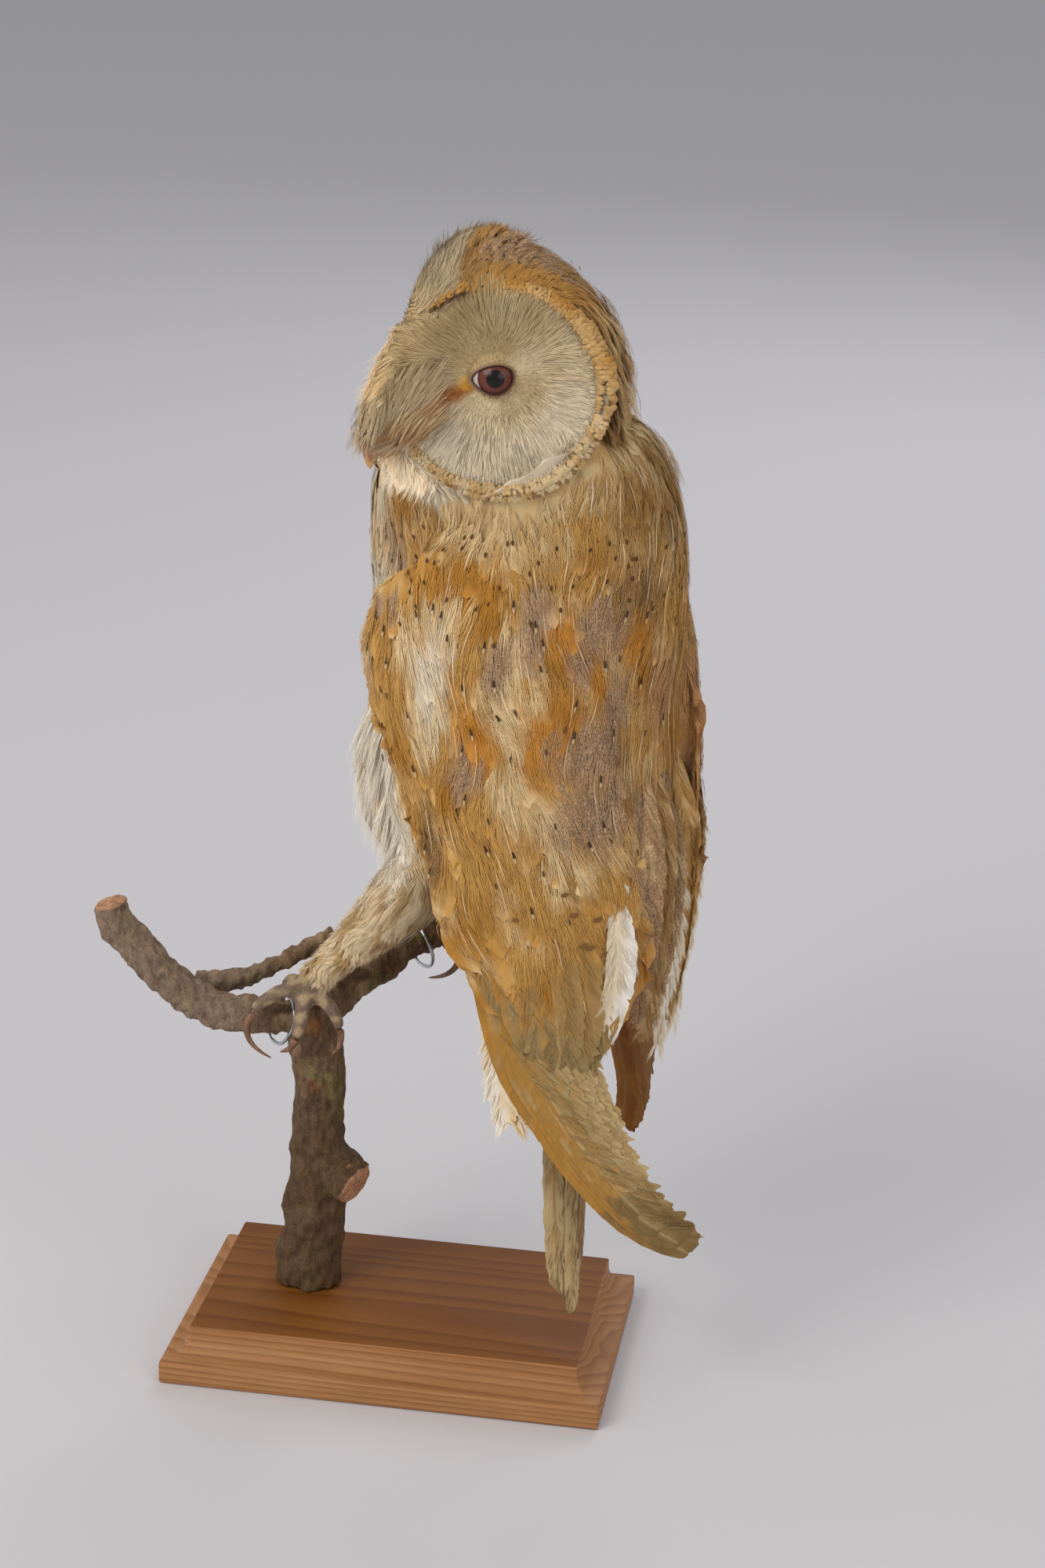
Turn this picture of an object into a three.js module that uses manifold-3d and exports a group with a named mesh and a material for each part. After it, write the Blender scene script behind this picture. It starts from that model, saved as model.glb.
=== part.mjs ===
// Taxidermy barn owl on a branch and a moulded wooden plinth, life size.
// Millimetres, +Z up. Origin: centre of the plinth's underside.
// +X runs along the plinth towards the owl's tail, -Y is the side of the owl's left wing.

import * as THREE from 'three'
import { mergeVertices } from 'three/addons/utils/BufferGeometryUtils.js'
import Module from 'manifold-3d'

const wasm = await Module()
wasm.setup()

// ---------------------------------------------------------------- driving dimensions

const GAP = 0.35 // clearance between pieces that touch
const DEGREE = Math.PI / 180

const PLINTH_LENGTH = 150
const PLINTH_WIDTH = 96
const PLINTH_HEIGHT = 18
const MOULDING_INSET = 8.5 // from the outer edge to the edge of the top plate
const STEP_HEIGHT = 7.9 // the plain lower band
const PLATE_EDGE = 2.3 // upright edge of the top plate
const COVE_FOOT = 1.6 // inset where the hollow moulding starts
const EASED_EDGE = 0.7 // small chamfer of the plinth's sharp edges

const BODY_YAW = 155 * DEGREE // heading of the breast, from +X towards +Y
const HEAD_YAW = -131 * DEGREE // heading of the face
const HEAD_PITCH = 8 * DEGREE // face turned down
const HEAD_CENTRE = new THREE.Vector3(28, -12, 350)

const DISC_HALF_WIDTH = 34.5 // each half of the face is a shallow oval dish
const DISC_HALF_HEIGHT = 31
const DISC_DEPTH = 5
const DISC_THICKNESS = 2.6
const DISC_YAW = 54 * DEGREE // how far each half is turned away from the bill
const DISC_TILT = 9 * DEGREE // how far each half leans back
const DISC_CENTRE = new THREE.Vector3(19.5, 21.4, -3)

const EYE_RADIUS = 8
const EYE_RISE = 4.5 // eye centre above the disc centre
const EYE_INSET = 1.2 // and towards the bill
const EYE_SINK = 9.5 // eye centre behind the rim of the disc

const WIRE_RADIUS = 0.6
const RING_RADIUS = 8.6

// ---------------------------------------------------------------- materials

const finish = (color, roughness, metalness = 0) =>
  new THREE.MeshStandardMaterial({ color, roughness, metalness })

const pine = () => finish('#a5652f', 0.45)
const bark = () => finish('#6d5848', 0.9)
const golden = () => finish('#c99a55', 0.85)
const cream = () => finish('#e2d6bd', 0.9)
const legDown = () => finish('#cbb993', 0.95)
const horn = () => finish('#8a5a3c', 0.4)
const billHorn = () => finish('#d9a777', 0.45)
const glass = () => finish('#3a1d18', 0.05)
const wire = () => finish('#a9adb0', 0.3, 1)

// ---------------------------------------------------------------- solids

// Vertices merged and faces turned outwards.
const closed = (geometry) => {
  const bare = geometry.clone()
  bare.deleteAttribute('normal')
  bare.deleteAttribute('uv')
  const merged = mergeVertices(bare, 1e-4)
  const place = merged.attributes.position
  const corners = merged.index.array
  const [a, b, c] = [0, 1, 2].map(() => new THREE.Vector3())
  let volume = 0
  for (let i = 0; i < corners.length; i += 3) {
    a.fromBufferAttribute(place, corners[i])
    b.fromBufferAttribute(place, corners[i + 1])
    c.fromBufferAttribute(place, corners[i + 2])
    volume += a.dot(b.cross(c))
  }
  if (volume < 0) {
    for (let i = 0; i < corners.length; i += 3) {
      [corners[i], corners[i + 1]] = [corners[i + 1], corners[i]]
    }
  }
  return merged
}

const asManifold = (geometry) => {
  const whole = closed(geometry)
  return new wasm.Manifold(new wasm.Mesh({
    numProp: 3,
    vertProperties: new Float32Array(whole.attributes.position.array),
    triVerts: new Uint32Array(whole.index.array),
  }))
}

// The geometry without the room that its neighbours need: its largest remaining piece.
const carve = (geometry, ...neighbours) => {
  let solid = asManifold(geometry)
  for (const neighbour of neighbours) {
    solid = solid.subtract(asManifold(neighbour))
  }
  const pieces = solid.decompose().sort((one, other) => other.volume() - one.volume())
  const mesh = pieces[0].getMesh()
  const result = new THREE.BufferGeometry()
  result.setAttribute('position', new THREE.BufferAttribute(mesh.vertProperties, 3))
  result.setIndex(new THREE.BufferAttribute(mesh.triVerts, 1))
  return result
}

// A capped tube of the given slices: section(t) has a centre and two half axes, for t from 0 to 1.
const sweep = (section, around, along) => {
  const geometry = new THREE.CylinderGeometry(1, 1, 1, around, along)
  const place = geometry.attributes.position
  for (let i = 0; i < place.count; i++) {
    const { centre, wide, deep } = section(place.getY(i) + 0.5)
    const point = centre.clone().addScaledVector(wide, place.getX(i)).addScaledVector(deep, place.getZ(i))
    place.setXYZ(i, point.x, point.y, point.z)
  }
  return geometry
}

// Smooth values between stations, given as rows of [position, value, value, ...].
const between = (rows) => {
  const values = rows.flatMap((row) => row.slice(1))
  const curve = new THREE.CubicInterpolant(rows.map((row) => row[0]), values, rows[0].length - 1)
  return (position) => Array.from(curve.evaluate(position))
}

const heading = (angle) => new THREE.Vector3(Math.cos(angle), Math.sin(angle), 0)
const FRONT = heading(BODY_YAW)
const LEFT = heading(BODY_YAW + Math.PI / 2)

// An upright body of level slices. Rows: [height, x, y, half length front to back, half width].
const uprightBody = (rows, { around = 20, along = 11, grow = 0, front = FRONT, left = LEFT } = {}) => {
  const shape = between(rows)
  const low = rows[0][0]
  const high = rows[rows.length - 1][0]
  const section = (t) => {
    const [x, y, halfLength, halfWidth] = shape(low + (high - low) * t)
    return {
      centre: new THREE.Vector3(x, y, low - grow + (high - low + 2 * grow) * t),
      wide: front.clone().multiplyScalar(halfLength + grow),
      deep: left.clone().multiplyScalar(halfWidth + grow),
    }
  }
  return sweep(section, around, along)
}

// A limb, twig, toe or claw along a smooth path. Rows: [x, y, z, radius].
// Flat is the ratio of its two half axes, and side is the direction of the long one.
const limb = (rows, { around = 9, along = 10, grow = 0, flat = 1, side = null } = {}) => {
  const stations = rows.map((row) => new THREE.Vector3(...row.slice(0, 3)))
  const path = new THREE.CatmullRomCurve3(stations, false, 'centripetal')
  const radius = between(rows.map((row, i) => [i / (rows.length - 1), row[3]]))
  const frames = path.computeFrenetFrames(along)
  const section = (t) => {
    const step = Math.round(t * along)
    const tangent = frames.tangents[step]
    const sideways = side || frames.normals[step]
    const wide = sideways.clone().addScaledVector(tangent, -sideways.dot(tangent)).normalize()
    const size = radius(path.getUtoTmapping(t))[0]
    const centre = path.getPointAt(t).addScaledVector(tangent, grow * (2 * t - 1))
    return {
      centre,
      deep: tangent.clone().cross(wide).normalize().multiplyScalar(size * flat + grow),
      wide: wide.multiplyScalar(size + grow),
    }
  }
  return sweep(section, around, along)
}

// A folded wing, bulging away from the body.
// Rows: [position, front edge x y z, rear edge x y z, bulge, thickness].
const wingPlate = (rows, outward, { around = 12, along = 8, grow = 0 } = {}) => {
  const shape = between(rows)
  const geometry = new THREE.CylinderGeometry(1, 1, 1, around, along)
  const place = geometry.attributes.position
  for (let i = 0; i < place.count; i++) {
    const t = place.getY(i) + 0.5
    const values = shape(t)
    const frontEdge = new THREE.Vector3(...values.slice(0, 3))
    const rearEdge = new THREE.Vector3(...values.slice(3, 6))
    const [bulge, thickness] = values.slice(6)
    const chord = rearEdge.clone().sub(frontEdge)
    const away = outward.clone().addScaledVector(chord, -outward.dot(chord) / chord.lengthSq()).normalize()
    const across = place.getX(i) * (1 + 2 * grow / chord.length()) // -1 at the front edge, 1 at the rear
    const lift = bulge * (1 - across ** 2) + place.getZ(i) * (thickness / 2 + grow)
    const point = frontEdge.addScaledVector(chord, (1 + across) / 2).addScaledVector(away, lift)
    point.z += grow * (1 - 2 * t)
    place.setXYZ(i, point.x, point.y, point.z)
  }
  return geometry
}

// ---------------------------------------------------------------- plinth

// A rectangular block whose four sides follow one moulding profile of [inset, height] points.
// It is turned on a lathe with four sides, and each side is then moved out to its place.
const mouldedBlock = (length, width, profile) => {
  const reach = 50
  const outline = profile.map(([inset, height]) => new THREE.Vector2(reach - inset, height))
  const bottom = profile[0][1]
  const top = profile[profile.length - 1][1]
  const geometry = new THREE.LatheGeometry(
    [new THREE.Vector2(0, bottom), ...outline, new THREE.Vector2(0, top)], 4, Math.PI / 4)
  const place = geometry.attributes.position
  for (let i = 0; i < place.count; i++) {
    const radius = Math.hypot(place.getX(i), place.getZ(i))
    const inset = reach - radius
    const onAxis = radius < 1e-6
    const x = onAxis ? 0 : Math.sign(place.getX(i)) * (length / 2 - inset)
    const y = onAxis ? 0 : Math.sign(place.getZ(i)) * (width / 2 - inset)
    place.setXYZ(i, x, y, place.getY(i))
  }
  return geometry
}

const plinth = () => {
  const coveRise = PLINTH_HEIGHT - PLATE_EDGE - EASED_EDGE - STEP_HEIGHT
  const coveRun = MOULDING_INSET - COVE_FOOT
  const coveSteps = 6
  const profile = [
    [EASED_EDGE, 0], [0, EASED_EDGE], [0, STEP_HEIGHT - EASED_EDGE], [EASED_EDGE, STEP_HEIGHT],
  ]
  for (let i = 0; i <= coveSteps; i++) {
    const turn = (i / coveSteps) * 90 * DEGREE
    const inset = COVE_FOOT + coveRun * Math.sin(turn)
    profile.push([inset, STEP_HEIGHT + 0.3 + coveRise * (1 - Math.cos(turn))])
  }
  profile.push([MOULDING_INSET, PLINTH_HEIGHT - 0.5], [MOULDING_INSET + 0.5, PLINTH_HEIGHT])
  return mouldedBlock(PLINTH_LENGTH, PLINTH_WIDTH, profile)
}

// ---------------------------------------------------------------- branch

const BRANCH = {
  trunk: [
    [-35, 3, PLINTH_HEIGHT - 2, 11.8], [-34, 3, 30, 11.3], [-32.5, 3, 48, 10.6], [-31.5, 3, 73, 9.1],
    [-31.8, 3, 95, 8.8], [-33, 2, 112, 9.6], [-33.5, 1, 124, 7],
  ],
  front_arm: [
    [-33, 0, 119, 6], [-42, -5, 119.5, 5.5], [-52, -8, 120.5, 6], [-64, -9, 121, 6.2], [-76, -10, 128, 6],
    [-89, -11, 139.5, 6.1], [-97.5, -11.5, 150, 6.3], [-99.5, -12.5, 158.5, 5.9],
  ],
  side_twig: [
    [-74, 1, 127, 3.2], [-63, 3.2, 127.5, 3.6], [-52, 7, 130.5, 3.2], [-40, 9.5, 137, 3.2],
    [-29, 12.5, 143.5, 3],
  ],
  perch: [
    [-33, 2, 118, 7.5], [-22, 12, 128.5, 6.9], [-10, 24, 134, 6.3], [2, 37, 139.3, 5.6],
    [6, 41, 138.5, 5.4],
  ],
  rear_arm: [
    [6, 41, 138.5, 5.3], [11, 44.5, 129, 5], [18, 48, 120, 4.6], [31, 50, 118, 4.3], [44, 49, 121.5, 4.2],
    [53, 47, 130, 4.2],
  ],
  stub: [[-32, 3, 66, 8.6], [-24, -1, 62, 8.8], [-17, -4.5, 59, 7.8]],
}

const branchPiece = (name, grow = 0) => limb(BRANCH[name], { around: 9, along: 8, grow })

// ---------------------------------------------------------------- body

const TRUNK = [
  [150, 46, -3, 7, 7],
  [157, 41, -1, 21, 19],
  [170, 34, 2, 42, 31],
  [186, 31, 4, 55, 36],
  [204, 31, 4, 60, 38],
  [222, 33, 4, 58, 41],
  [245, 36, 3, 54, 43],
  [272, 36, 2, 56, 46],
  [298, 35, 0, 55, 47],
]

const NECK = [
  [298 + GAP, 35, 0, 55, 47],
  [309, 34, -2, 53, 46],
  [320, 33.5, -4, 49, 44],
  [330, 33, -6, 42, 40],
  [338, 32, -8, 30, 30],
]

const LEFT_OUT = heading(-98 * DEGREE)
const RIGHT_OUT = heading(52 * DEGREE)

const LEFT_WING = [
  [0, 8, -43, 297, 46, -46, 299, 3, 4],
  [0.1, -7, -36, 285, 60, -43, 281, 9, 9],
  [0.3, -12, -32, 255, 71, -35, 248, 17, 10],
  [0.5, -2, -36, 226, 79, -31, 213, 16, 9],
  [0.7, 8, -39, 199, 83.5, -28, 179, 12, 8],
  [0.88, 18, -42, 168, 83, -27, 152, 8, 6],
  [1, 30, -43.5, 144, 75, -29.5, 132, 5, 3],
]

const RIGHT_WING = [
  [0, 40, 50, 298, 66, 36, 299, 3, 4],
  [0.1, 32, 50, 285, 83, 15, 280, 12, 9],
  [0.3, 29, 48, 255, 91.5, -3, 251, 20, 10],
  [0.5, 29, 47, 226, 94.5, -9, 214, 19, 9],
  [0.7, 31, 46, 199, 94.5, -11, 182, 15, 8],
  [0.88, 36, 45, 169, 91, -8, 155, 10, 6],
  [1, 46, 43, 143, 84, -1, 130, 6, 3],
]

const LEFT_PRIMARIES = [
  [0, 21, -36, 166, 60, -31, 164, 4, 3],
  [0.25, 30.5, -41.5, 133, 64, -36, 128, 3.5, 4],
  [0.5, 43, -43, 110, 72, -38, 106, 3, 3.5],
  [0.7, 57, -43.5, 90, 81, -39, 91, 2.2, 3],
  [0.87, 75, -43.5, 73, 93, -40, 77, 1, 2.5],
  [1, 98, -41.5, 63, 105, -40.5, 67, 0.2, 1.6],
]

const RIGHT_PRIMARIES = [
  [0, 40, 40, 166, 78, 2, 162, 5, 3],
  [0.3, 48, 40, 133, 83, 3, 127, 4, 4],
  [0.6, 58, 37, 107, 83, 10, 104, 3, 3],
  [0.85, 67, 32, 88, 81, 19, 89, 1.5, 2.5],
  [1, 73, 29, 77, 77, 26, 79, 0.2, 1.6],
]

const TAIL = [
  [50, -3, 166, 11], [54, -9, 136, 14], [57.5, -20, 100, 15], [60, -29, 66, 13.5], [62, -36, 37, 5.5],
]
const UNDERTAIL = [[40, -2, 166, 12], [37.5, -8, 136, 12.5], [38.5, -14, 112, 9], [41, -19, 95, 3]]

const trunk = (grow = 0) => uprightBody(TRUNK, { along: 12, grow })
const neck = () => uprightBody(NECK, { along: 5 })
const tail = (grow = 0) => limb(TAIL, { around: 12, along: 7, grow, flat: 0.2, side: LEFT })
const undertail = (grow = 0) => limb(UNDERTAIL, { around: 10, along: 6, grow, flat: 0.6, side: LEFT })

// ---------------------------------------------------------------- head

// The head is drawn facing +X and then turned to its place.
const headPlace = new THREE.Matrix4()
  .makeRotationZ(HEAD_YAW)
  .multiply(new THREE.Matrix4().makeRotationY(HEAD_PITCH))
  .setPosition(HEAD_CENTRE)
const onHead = (geometry) => geometry.applyMatrix4(headPlace)

// Rows: [height, forward, left, half length, half width].
const SKULL = [
  [-40, 6, 0, 17, 18],
  [-34, 7, 0, 30, 28],
  [-20, 7, 0, 40, 35],
  [-5, 6, 0, 41.5, 37.5],
  [12, 3.5, 0, 37, 34.5],
  [26, 2, 0, 27, 25],
  [37, 5, 0, 15.5, 14],
  [43, 7, 0, 5, 5],
]

const discPlace = (side) => new THREE.Matrix4()
  .makeRotationZ(side * DISC_YAW)
  .multiply(new THREE.Matrix4().makeRotationY(-DISC_TILT))
  .setPosition(DISC_CENTRE.x, side * DISC_CENTRE.y, DISC_CENTRE.z)

// An oval dish from a profile of [share of the half axes, forward] points, set on its side of the face.
const facing = (profile, side, grow = 0) => {
  const points = profile.map(([share, forward]) => new THREE.Vector2(share, forward))
  const geometry = new THREE.LatheGeometry(points, 16)
  geometry.applyMatrix4(new THREE.Matrix4().makeRotationZ(-90 * DEGREE))
  geometry.scale(1, DISC_HALF_HEIGHT + grow, DISC_HALF_WIDTH + grow)
  geometry.rotateX(90 * DEGREE)
  return geometry.applyMatrix4(discPlace(side))
}

// How far the dish lies behind its rim, and how thick it is, at a given share of its radius.
const dishFace = (share) => -DISC_DEPTH * (1 - share ** 2)
const dishBack = (share) => dishFace(share) - DISC_THICKNESS * (1 - 0.7 * share ** 2)

const DISH_RINGS = [0, 0.4, 0.75, 1]

const facialDisc = (side) => {
  const face = DISH_RINGS.map((share) => [share, dishFace(share)])
  const back = [...DISH_RINGS].reverse().map((share) => [share, dishBack(share)])
  return facing([...face, ...back], side)
}

// The room that a disc and its hollow need, out to a given distance in front of the rim.
const discRoom = (side, reach) => {
  const back = DISH_RINGS.map((share) => [share, dishBack(share) - GAP])
  return facing([...back, [1, reach], [0, reach]], side, GAP)
}

const eyeBall = (side, grow = 0) => {
  const geometry = new THREE.SphereGeometry(EYE_RADIUS + grow, 12, 7)
  geometry.translate(-EYE_SINK, -side * EYE_INSET, EYE_RISE)
  return geometry.applyMatrix4(discPlace(side))
}

const UPPER_BILL = [
  [33, 0, -7, 5.5], [43.5, 0, -8.5, 5], [51, 0, -11.5, 4], [54.8, 0, -15.5, 2.7], [54.8, 0, -21, 0.6],
]
const LOWER_BILL = [[36, 0, -16, 4.4], [44, 0, -17, 3.8], [50.5, 0, -18.5, 1.6]]
const upperBill = (grow = 0) => limb(UPPER_BILL, { around: 10, along: 7, grow })
const lowerBill = (grow = 0) =>
  limb(LOWER_BILL, { around: 8, along: 4, grow, flat: 0.6, side: new THREE.Vector3(0, 1, 0) })

// The wedge of feathers that stands between the two dishes, down to the bill.
const FACE_RIDGE = [
  [38, 0, 22, 2.5], [42.5, 0, 14, 3.5], [47.5, 0, 3, 5], [51.5, 0, -6, 5.2], [52.5, 0, -12, 4],
]
const faceRidge = (grow = 0) => limb(FACE_RIDGE, { around: 7, along: 5, grow })

const skull = (grow = 0) => {
  const front = new THREE.Vector3(1, 0, 0)
  const left = new THREE.Vector3(0, 1, 0)
  return uprightBody(SKULL, { around: 19, along: 10, grow, front, left })
}

// ---------------------------------------------------------------- legs and feet

const LEGS = {
  left: {
    thigh: [[18, -13, 205, 12], [12, -12.5, 190, 13], [4, -12, 175, 12.5], [-5.5, -10.7, 162.5, 11.5]],
    tarsus: [[-6, -10.6, 162, 11.2], [-17, -9.2, 151, 8.8], [-29, -8, 138, 6.3]],
    foot: [[-29.2, -8, 137.7, 6.3], [-32.6, -8, 133, 5.4], [-35, -8, 130, 4]],
    toes: {
      inner: [
        [-34.5, -11, 133.5, 3.2], [-38.5, -14.5, 134, 3], [-44, -16, 131.5, 2.8], [-49.5, -16.6, 126.5, 2.3],
      ],
      middle: [
        [-32.5, -11, 132, 3.3], [-33.3, -15, 129, 3.1], [-34.2, -15.6, 122, 2.9], [-35.3, -15.4, 117, 2.4],
      ],
      outer: [[-36.5, -4.5, 131.5, 3.1], [-41, 1.5, 130.5, 2.8], [-44, 5.5, 126, 2.3]],
      hind: [[-28, -10, 130, 3], [-23.6, -10.6, 125, 2.7], [-22, -9.4, 119.5, 2.3]],
    },
    claws: {
      inner: [
        [-49.9, -16.6, 125.4, 2], [-52.6, -16.8, 120, 1.7], [-50.6, -17, 113.5, 1.1],
        [-43.5, -17, 109.5, 0.35],
      ],
      middle: [[-35.5, -15.4, 116.4, 1.9], [-37.8, -14.8, 112.4, 1.4], [-41.5, -13.4, 110.4, 0.35]],
      outer: [[-44.4, 6.1, 125.3, 1.9], [-46, 7.6, 119.4, 1.5], [-43, 8, 113.4, 0.35]],
      hind: [[-21.9, -9.3, 119, 1.9], [-21.6, -9.2, 113.6, 1.4], [-24.6, -9.8, 109.4, 0.35]],
    },
  },
  right: {
    thigh: [[38, 22, 205, 13], [35, 27, 192, 16], [29, 31, 178, 13.5], [22, 34, 164, 11]],
    tarsus: [[21.6, 34.2, 163.2, 10.6], [16, 36.5, 155, 8.2], [11.5, 38.5, 148.5, 6.2]],
    foot: [[11.2, 38.6, 148, 6.2], [9.6, 39.6, 145.4, 5.4], [8.4, 40.4, 144, 4]],
    toes: {
      inner: [[10, 34.5, 147, 3.1], [12.6, 31.2, 144, 2.8], [13, 30, 138.5, 2.6], [12.4, 29.6, 134.5, 2.2]],
      middle: [
        [14.5, 37.5, 145.5, 3.1], [18.4, 36.4, 141, 2.8], [20.6, 36, 134.5, 2.5], [21, 36.4, 130.5, 2.2],
      ],
      outer: [[9.5, 45, 145.5, 3], [10.4, 49.6, 141.5, 2.7], [10.6, 51.4, 136, 2.2]],
      hind: [[6.5, 43, 146.6, 3], [3, 46, 143.6, 2.7], [1.8, 47.6, 138.6, 2.2]],
    },
    claws: {
      inner: [[12.3, 29.5, 134, 1.8], [10.6, 28.6, 128.6, 1.5], [6.2, 28, 125.4, 1], [1, 28, 124.4, 0.35]],
      middle: [[21, 36.5, 129.9, 1.8], [19.6, 36.8, 124.6, 1.4], [15.2, 37, 121, 0.35]],
      outer: [[10.6, 51.6, 135.4, 1.8], [10.6, 52, 129.6, 1.4], [13.4, 52.8, 124, 0.35]],
      hind: [[1.7, 47.8, 138, 1.8], [2.2, 48.4, 132.6, 1.4], [5.8, 48.6, 128.4, 0.35]],
    },
  },
}

const RINGS = {
  left: { centre: [-43, -5.4, 119], normal: [-0.74, -0.62, 0.28] },
  right: { centre: [-3.2, 31, 135.2], normal: [0.7, 0.66, 0.26] },
}

const wireRing = ({ centre, normal }) => {
  const geometry = new THREE.TorusGeometry(RING_RADIUS, WIRE_RADIUS, 5, 15)
  const facingAxis = new THREE.Vector3(...normal).normalize()
  geometry.applyQuaternion(new THREE.Quaternion().setFromUnitVectors(new THREE.Vector3(0, 0, 1), facingAxis))
  return geometry.translate(...centre)
}

// ---------------------------------------------------------------- assembly

const owl = new THREE.Group()

const add = (name, geometry, material) => {
  const mesh = new THREE.Mesh(closed(geometry), material)
  mesh.name = name
  owl.add(mesh)
}

add('plinth', plinth(), pine())

const floorSide = 60
const floorRoom = new THREE.BoxGeometry(floorSide, floorSide, floorSide)
floorRoom.translate(BRANCH.trunk[0][0], 0, PLINTH_HEIGHT + GAP - floorSide / 2)
add('branch_trunk', carve(branchPiece('trunk'), floorRoom), bark())
const trunkRoom = branchPiece('trunk', GAP)
const perchRoom = branchPiece('perch', GAP)
const frontArmRoom = branchPiece('front_arm', GAP)
add('branch_perch', carve(branchPiece('perch'), trunkRoom), bark())
add('branch_front_arm', carve(branchPiece('front_arm'), trunkRoom, perchRoom), bark())
add('branch_side_twig', carve(branchPiece('side_twig'), frontArmRoom), bark())
add('branch_rear_arm', carve(branchPiece('rear_arm'), perchRoom), bark())
add('branch_stub', carve(branchPiece('stub'), trunkRoom), bark())

const wings = {
  left: { cover: LEFT_WING, primaries: LEFT_PRIMARIES, outward: LEFT_OUT },
  right: { cover: RIGHT_WING, primaries: RIGHT_PRIMARIES, outward: RIGHT_OUT },
}
const wingRooms = []
const primariesRooms = []
for (const [side, { cover, primaries, outward }] of Object.entries(wings)) {
  add(`wing_${side}`, wingPlate(cover, outward), golden())
  const coverRoom = wingPlate(cover, outward, { grow: GAP })
  const feathers = carve(wingPlate(primaries, outward, { along: 7 }), coverRoom)
  add(`primaries_${side}`, feathers, golden())
  wingRooms.push(coverRoom)
  primariesRooms.push(wingPlate(primaries, outward, { along: 7, grow: GAP }))
}

add('trunk', carve(trunk(), ...wingRooms, ...primariesRooms), golden())
const bodyRoom = trunk(GAP)
add('tail', carve(tail(), bodyRoom, ...wingRooms, ...primariesRooms), cream())
add('undertail', carve(undertail(), bodyRoom, tail(GAP), ...primariesRooms), cream())

const skullRoom = onHead(skull(GAP))
const sides = { left: 1, right: -1 }
const discPlugs = Object.values(sides).map((side) => onHead(discRoom(side, GAP)))
add('neck', carve(neck(), skullRoom, ...discPlugs, ...wingRooms), golden())

const beyondFace = 30
const discRooms = Object.values(sides).map((side) => discRoom(side, beyondFace))
const dishRooms = Object.values(sides).map((side) => discRoom(side, GAP))
const eyeRooms = Object.values(sides).map((side) => eyeBall(side, GAP))
const billRoom = upperBill(GAP)
const lowerBillRoom = lowerBill(GAP)
add('head', onHead(carve(skull(), ...discRooms, ...eyeRooms, billRoom, lowerBillRoom)), golden())
add('face_ridge', onHead(carve(faceRidge(), skull(GAP), ...dishRooms, billRoom, lowerBillRoom)), cream())
for (const [name, side] of Object.entries(sides)) {
  add(`facial_disc_${name}`, onHead(carve(facialDisc(side), ...eyeRooms, billRoom, lowerBillRoom)), cream())
  add(`eye_${name}`, onHead(eyeBall(side)), glass())
}
add('bill_upper', onHead(upperBill()), billHorn())
add('bill_lower', onHead(carve(lowerBill(), billRoom)), billHorn())

const branchRooms = [
  trunkRoom, perchRoom, frontArmRoom, branchPiece('rear_arm', GAP), branchPiece('side_twig', GAP),
]
for (const [side, leg] of Object.entries(LEGS)) {
  const tarsusRoom = limb(leg.tarsus, { along: 6, grow: GAP })
  const footRoom = limb(leg.foot, { along: 4, grow: GAP })
  const thighRoom = limb(leg.thigh, { along: 7, grow: GAP })
  const thigh = carve(limb(leg.thigh, { along: 7 }), bodyRoom, ...wingRooms, ...primariesRooms)
  add(`thigh_${side}`, thigh, legDown())
  add(`tarsus_${side}`, carve(limb(leg.tarsus, { along: 6 }), thighRoom, ...branchRooms), legDown())
  add(`foot_${side}`, carve(limb(leg.foot, { along: 4 }), tarsusRoom, ...branchRooms), legDown())
  const taken = [footRoom, tarsusRoom, ...branchRooms]
  for (const [toe, rows] of Object.entries(leg.toes)) {
    const toeShape = limb(rows, { around: 6, along: 4 })
    add(`toe_${side}_${toe}`, carve(toeShape, ...taken), legDown())
    taken.push(limb(rows, { around: 6, along: 4, grow: GAP }))
    const clawShape = limb(leg.claws[toe], { around: 5, along: 4 })
    add(`claw_${side}_${toe}`, carve(clawShape, ...taken), horn())
  }
  add(`wire_ring_${side}`, wireRing(RINGS[side]), wire())
}

export default owl
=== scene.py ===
"""Looks of the taxidermy barn owl on its branch and plinth.

Points are in millimetres until a mesh is made.
"""

import math

import bmesh
import bpy
import numpy as np
from mathutils import Matrix, Vector
from mathutils.bvhtree import BVHTree


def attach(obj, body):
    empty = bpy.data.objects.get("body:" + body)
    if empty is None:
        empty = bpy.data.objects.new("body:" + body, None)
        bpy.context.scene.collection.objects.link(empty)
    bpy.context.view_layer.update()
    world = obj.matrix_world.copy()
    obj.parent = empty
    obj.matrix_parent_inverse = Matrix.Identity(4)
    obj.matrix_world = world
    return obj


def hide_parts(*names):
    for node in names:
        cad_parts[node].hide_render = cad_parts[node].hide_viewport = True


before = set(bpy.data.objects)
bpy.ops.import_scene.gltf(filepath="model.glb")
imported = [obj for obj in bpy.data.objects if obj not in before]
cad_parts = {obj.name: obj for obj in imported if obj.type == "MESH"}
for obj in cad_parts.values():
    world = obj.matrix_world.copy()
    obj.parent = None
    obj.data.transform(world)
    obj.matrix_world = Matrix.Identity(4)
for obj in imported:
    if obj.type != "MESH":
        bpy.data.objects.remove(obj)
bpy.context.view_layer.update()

MM = 0.001
UP = np.array([0.0, 0.0, 1.0])
rng = np.random.default_rng(11)

# ------------------------------------------------------------------ small tools


def vec(*values):
    return np.array(values, float)


def unit(v):
    v = np.asarray(v, float)
    return v / np.maximum(np.linalg.norm(v, axis=-1, keepdims=True), 1e-9)


def smooth(low, high, value):
    t = np.clip((np.asarray(value, float) - low) / (high - low), 0, 1)
    return t * t * (3 - 2 * t)


def mix(a, b, t):
    return a + (b - a) * t


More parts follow.
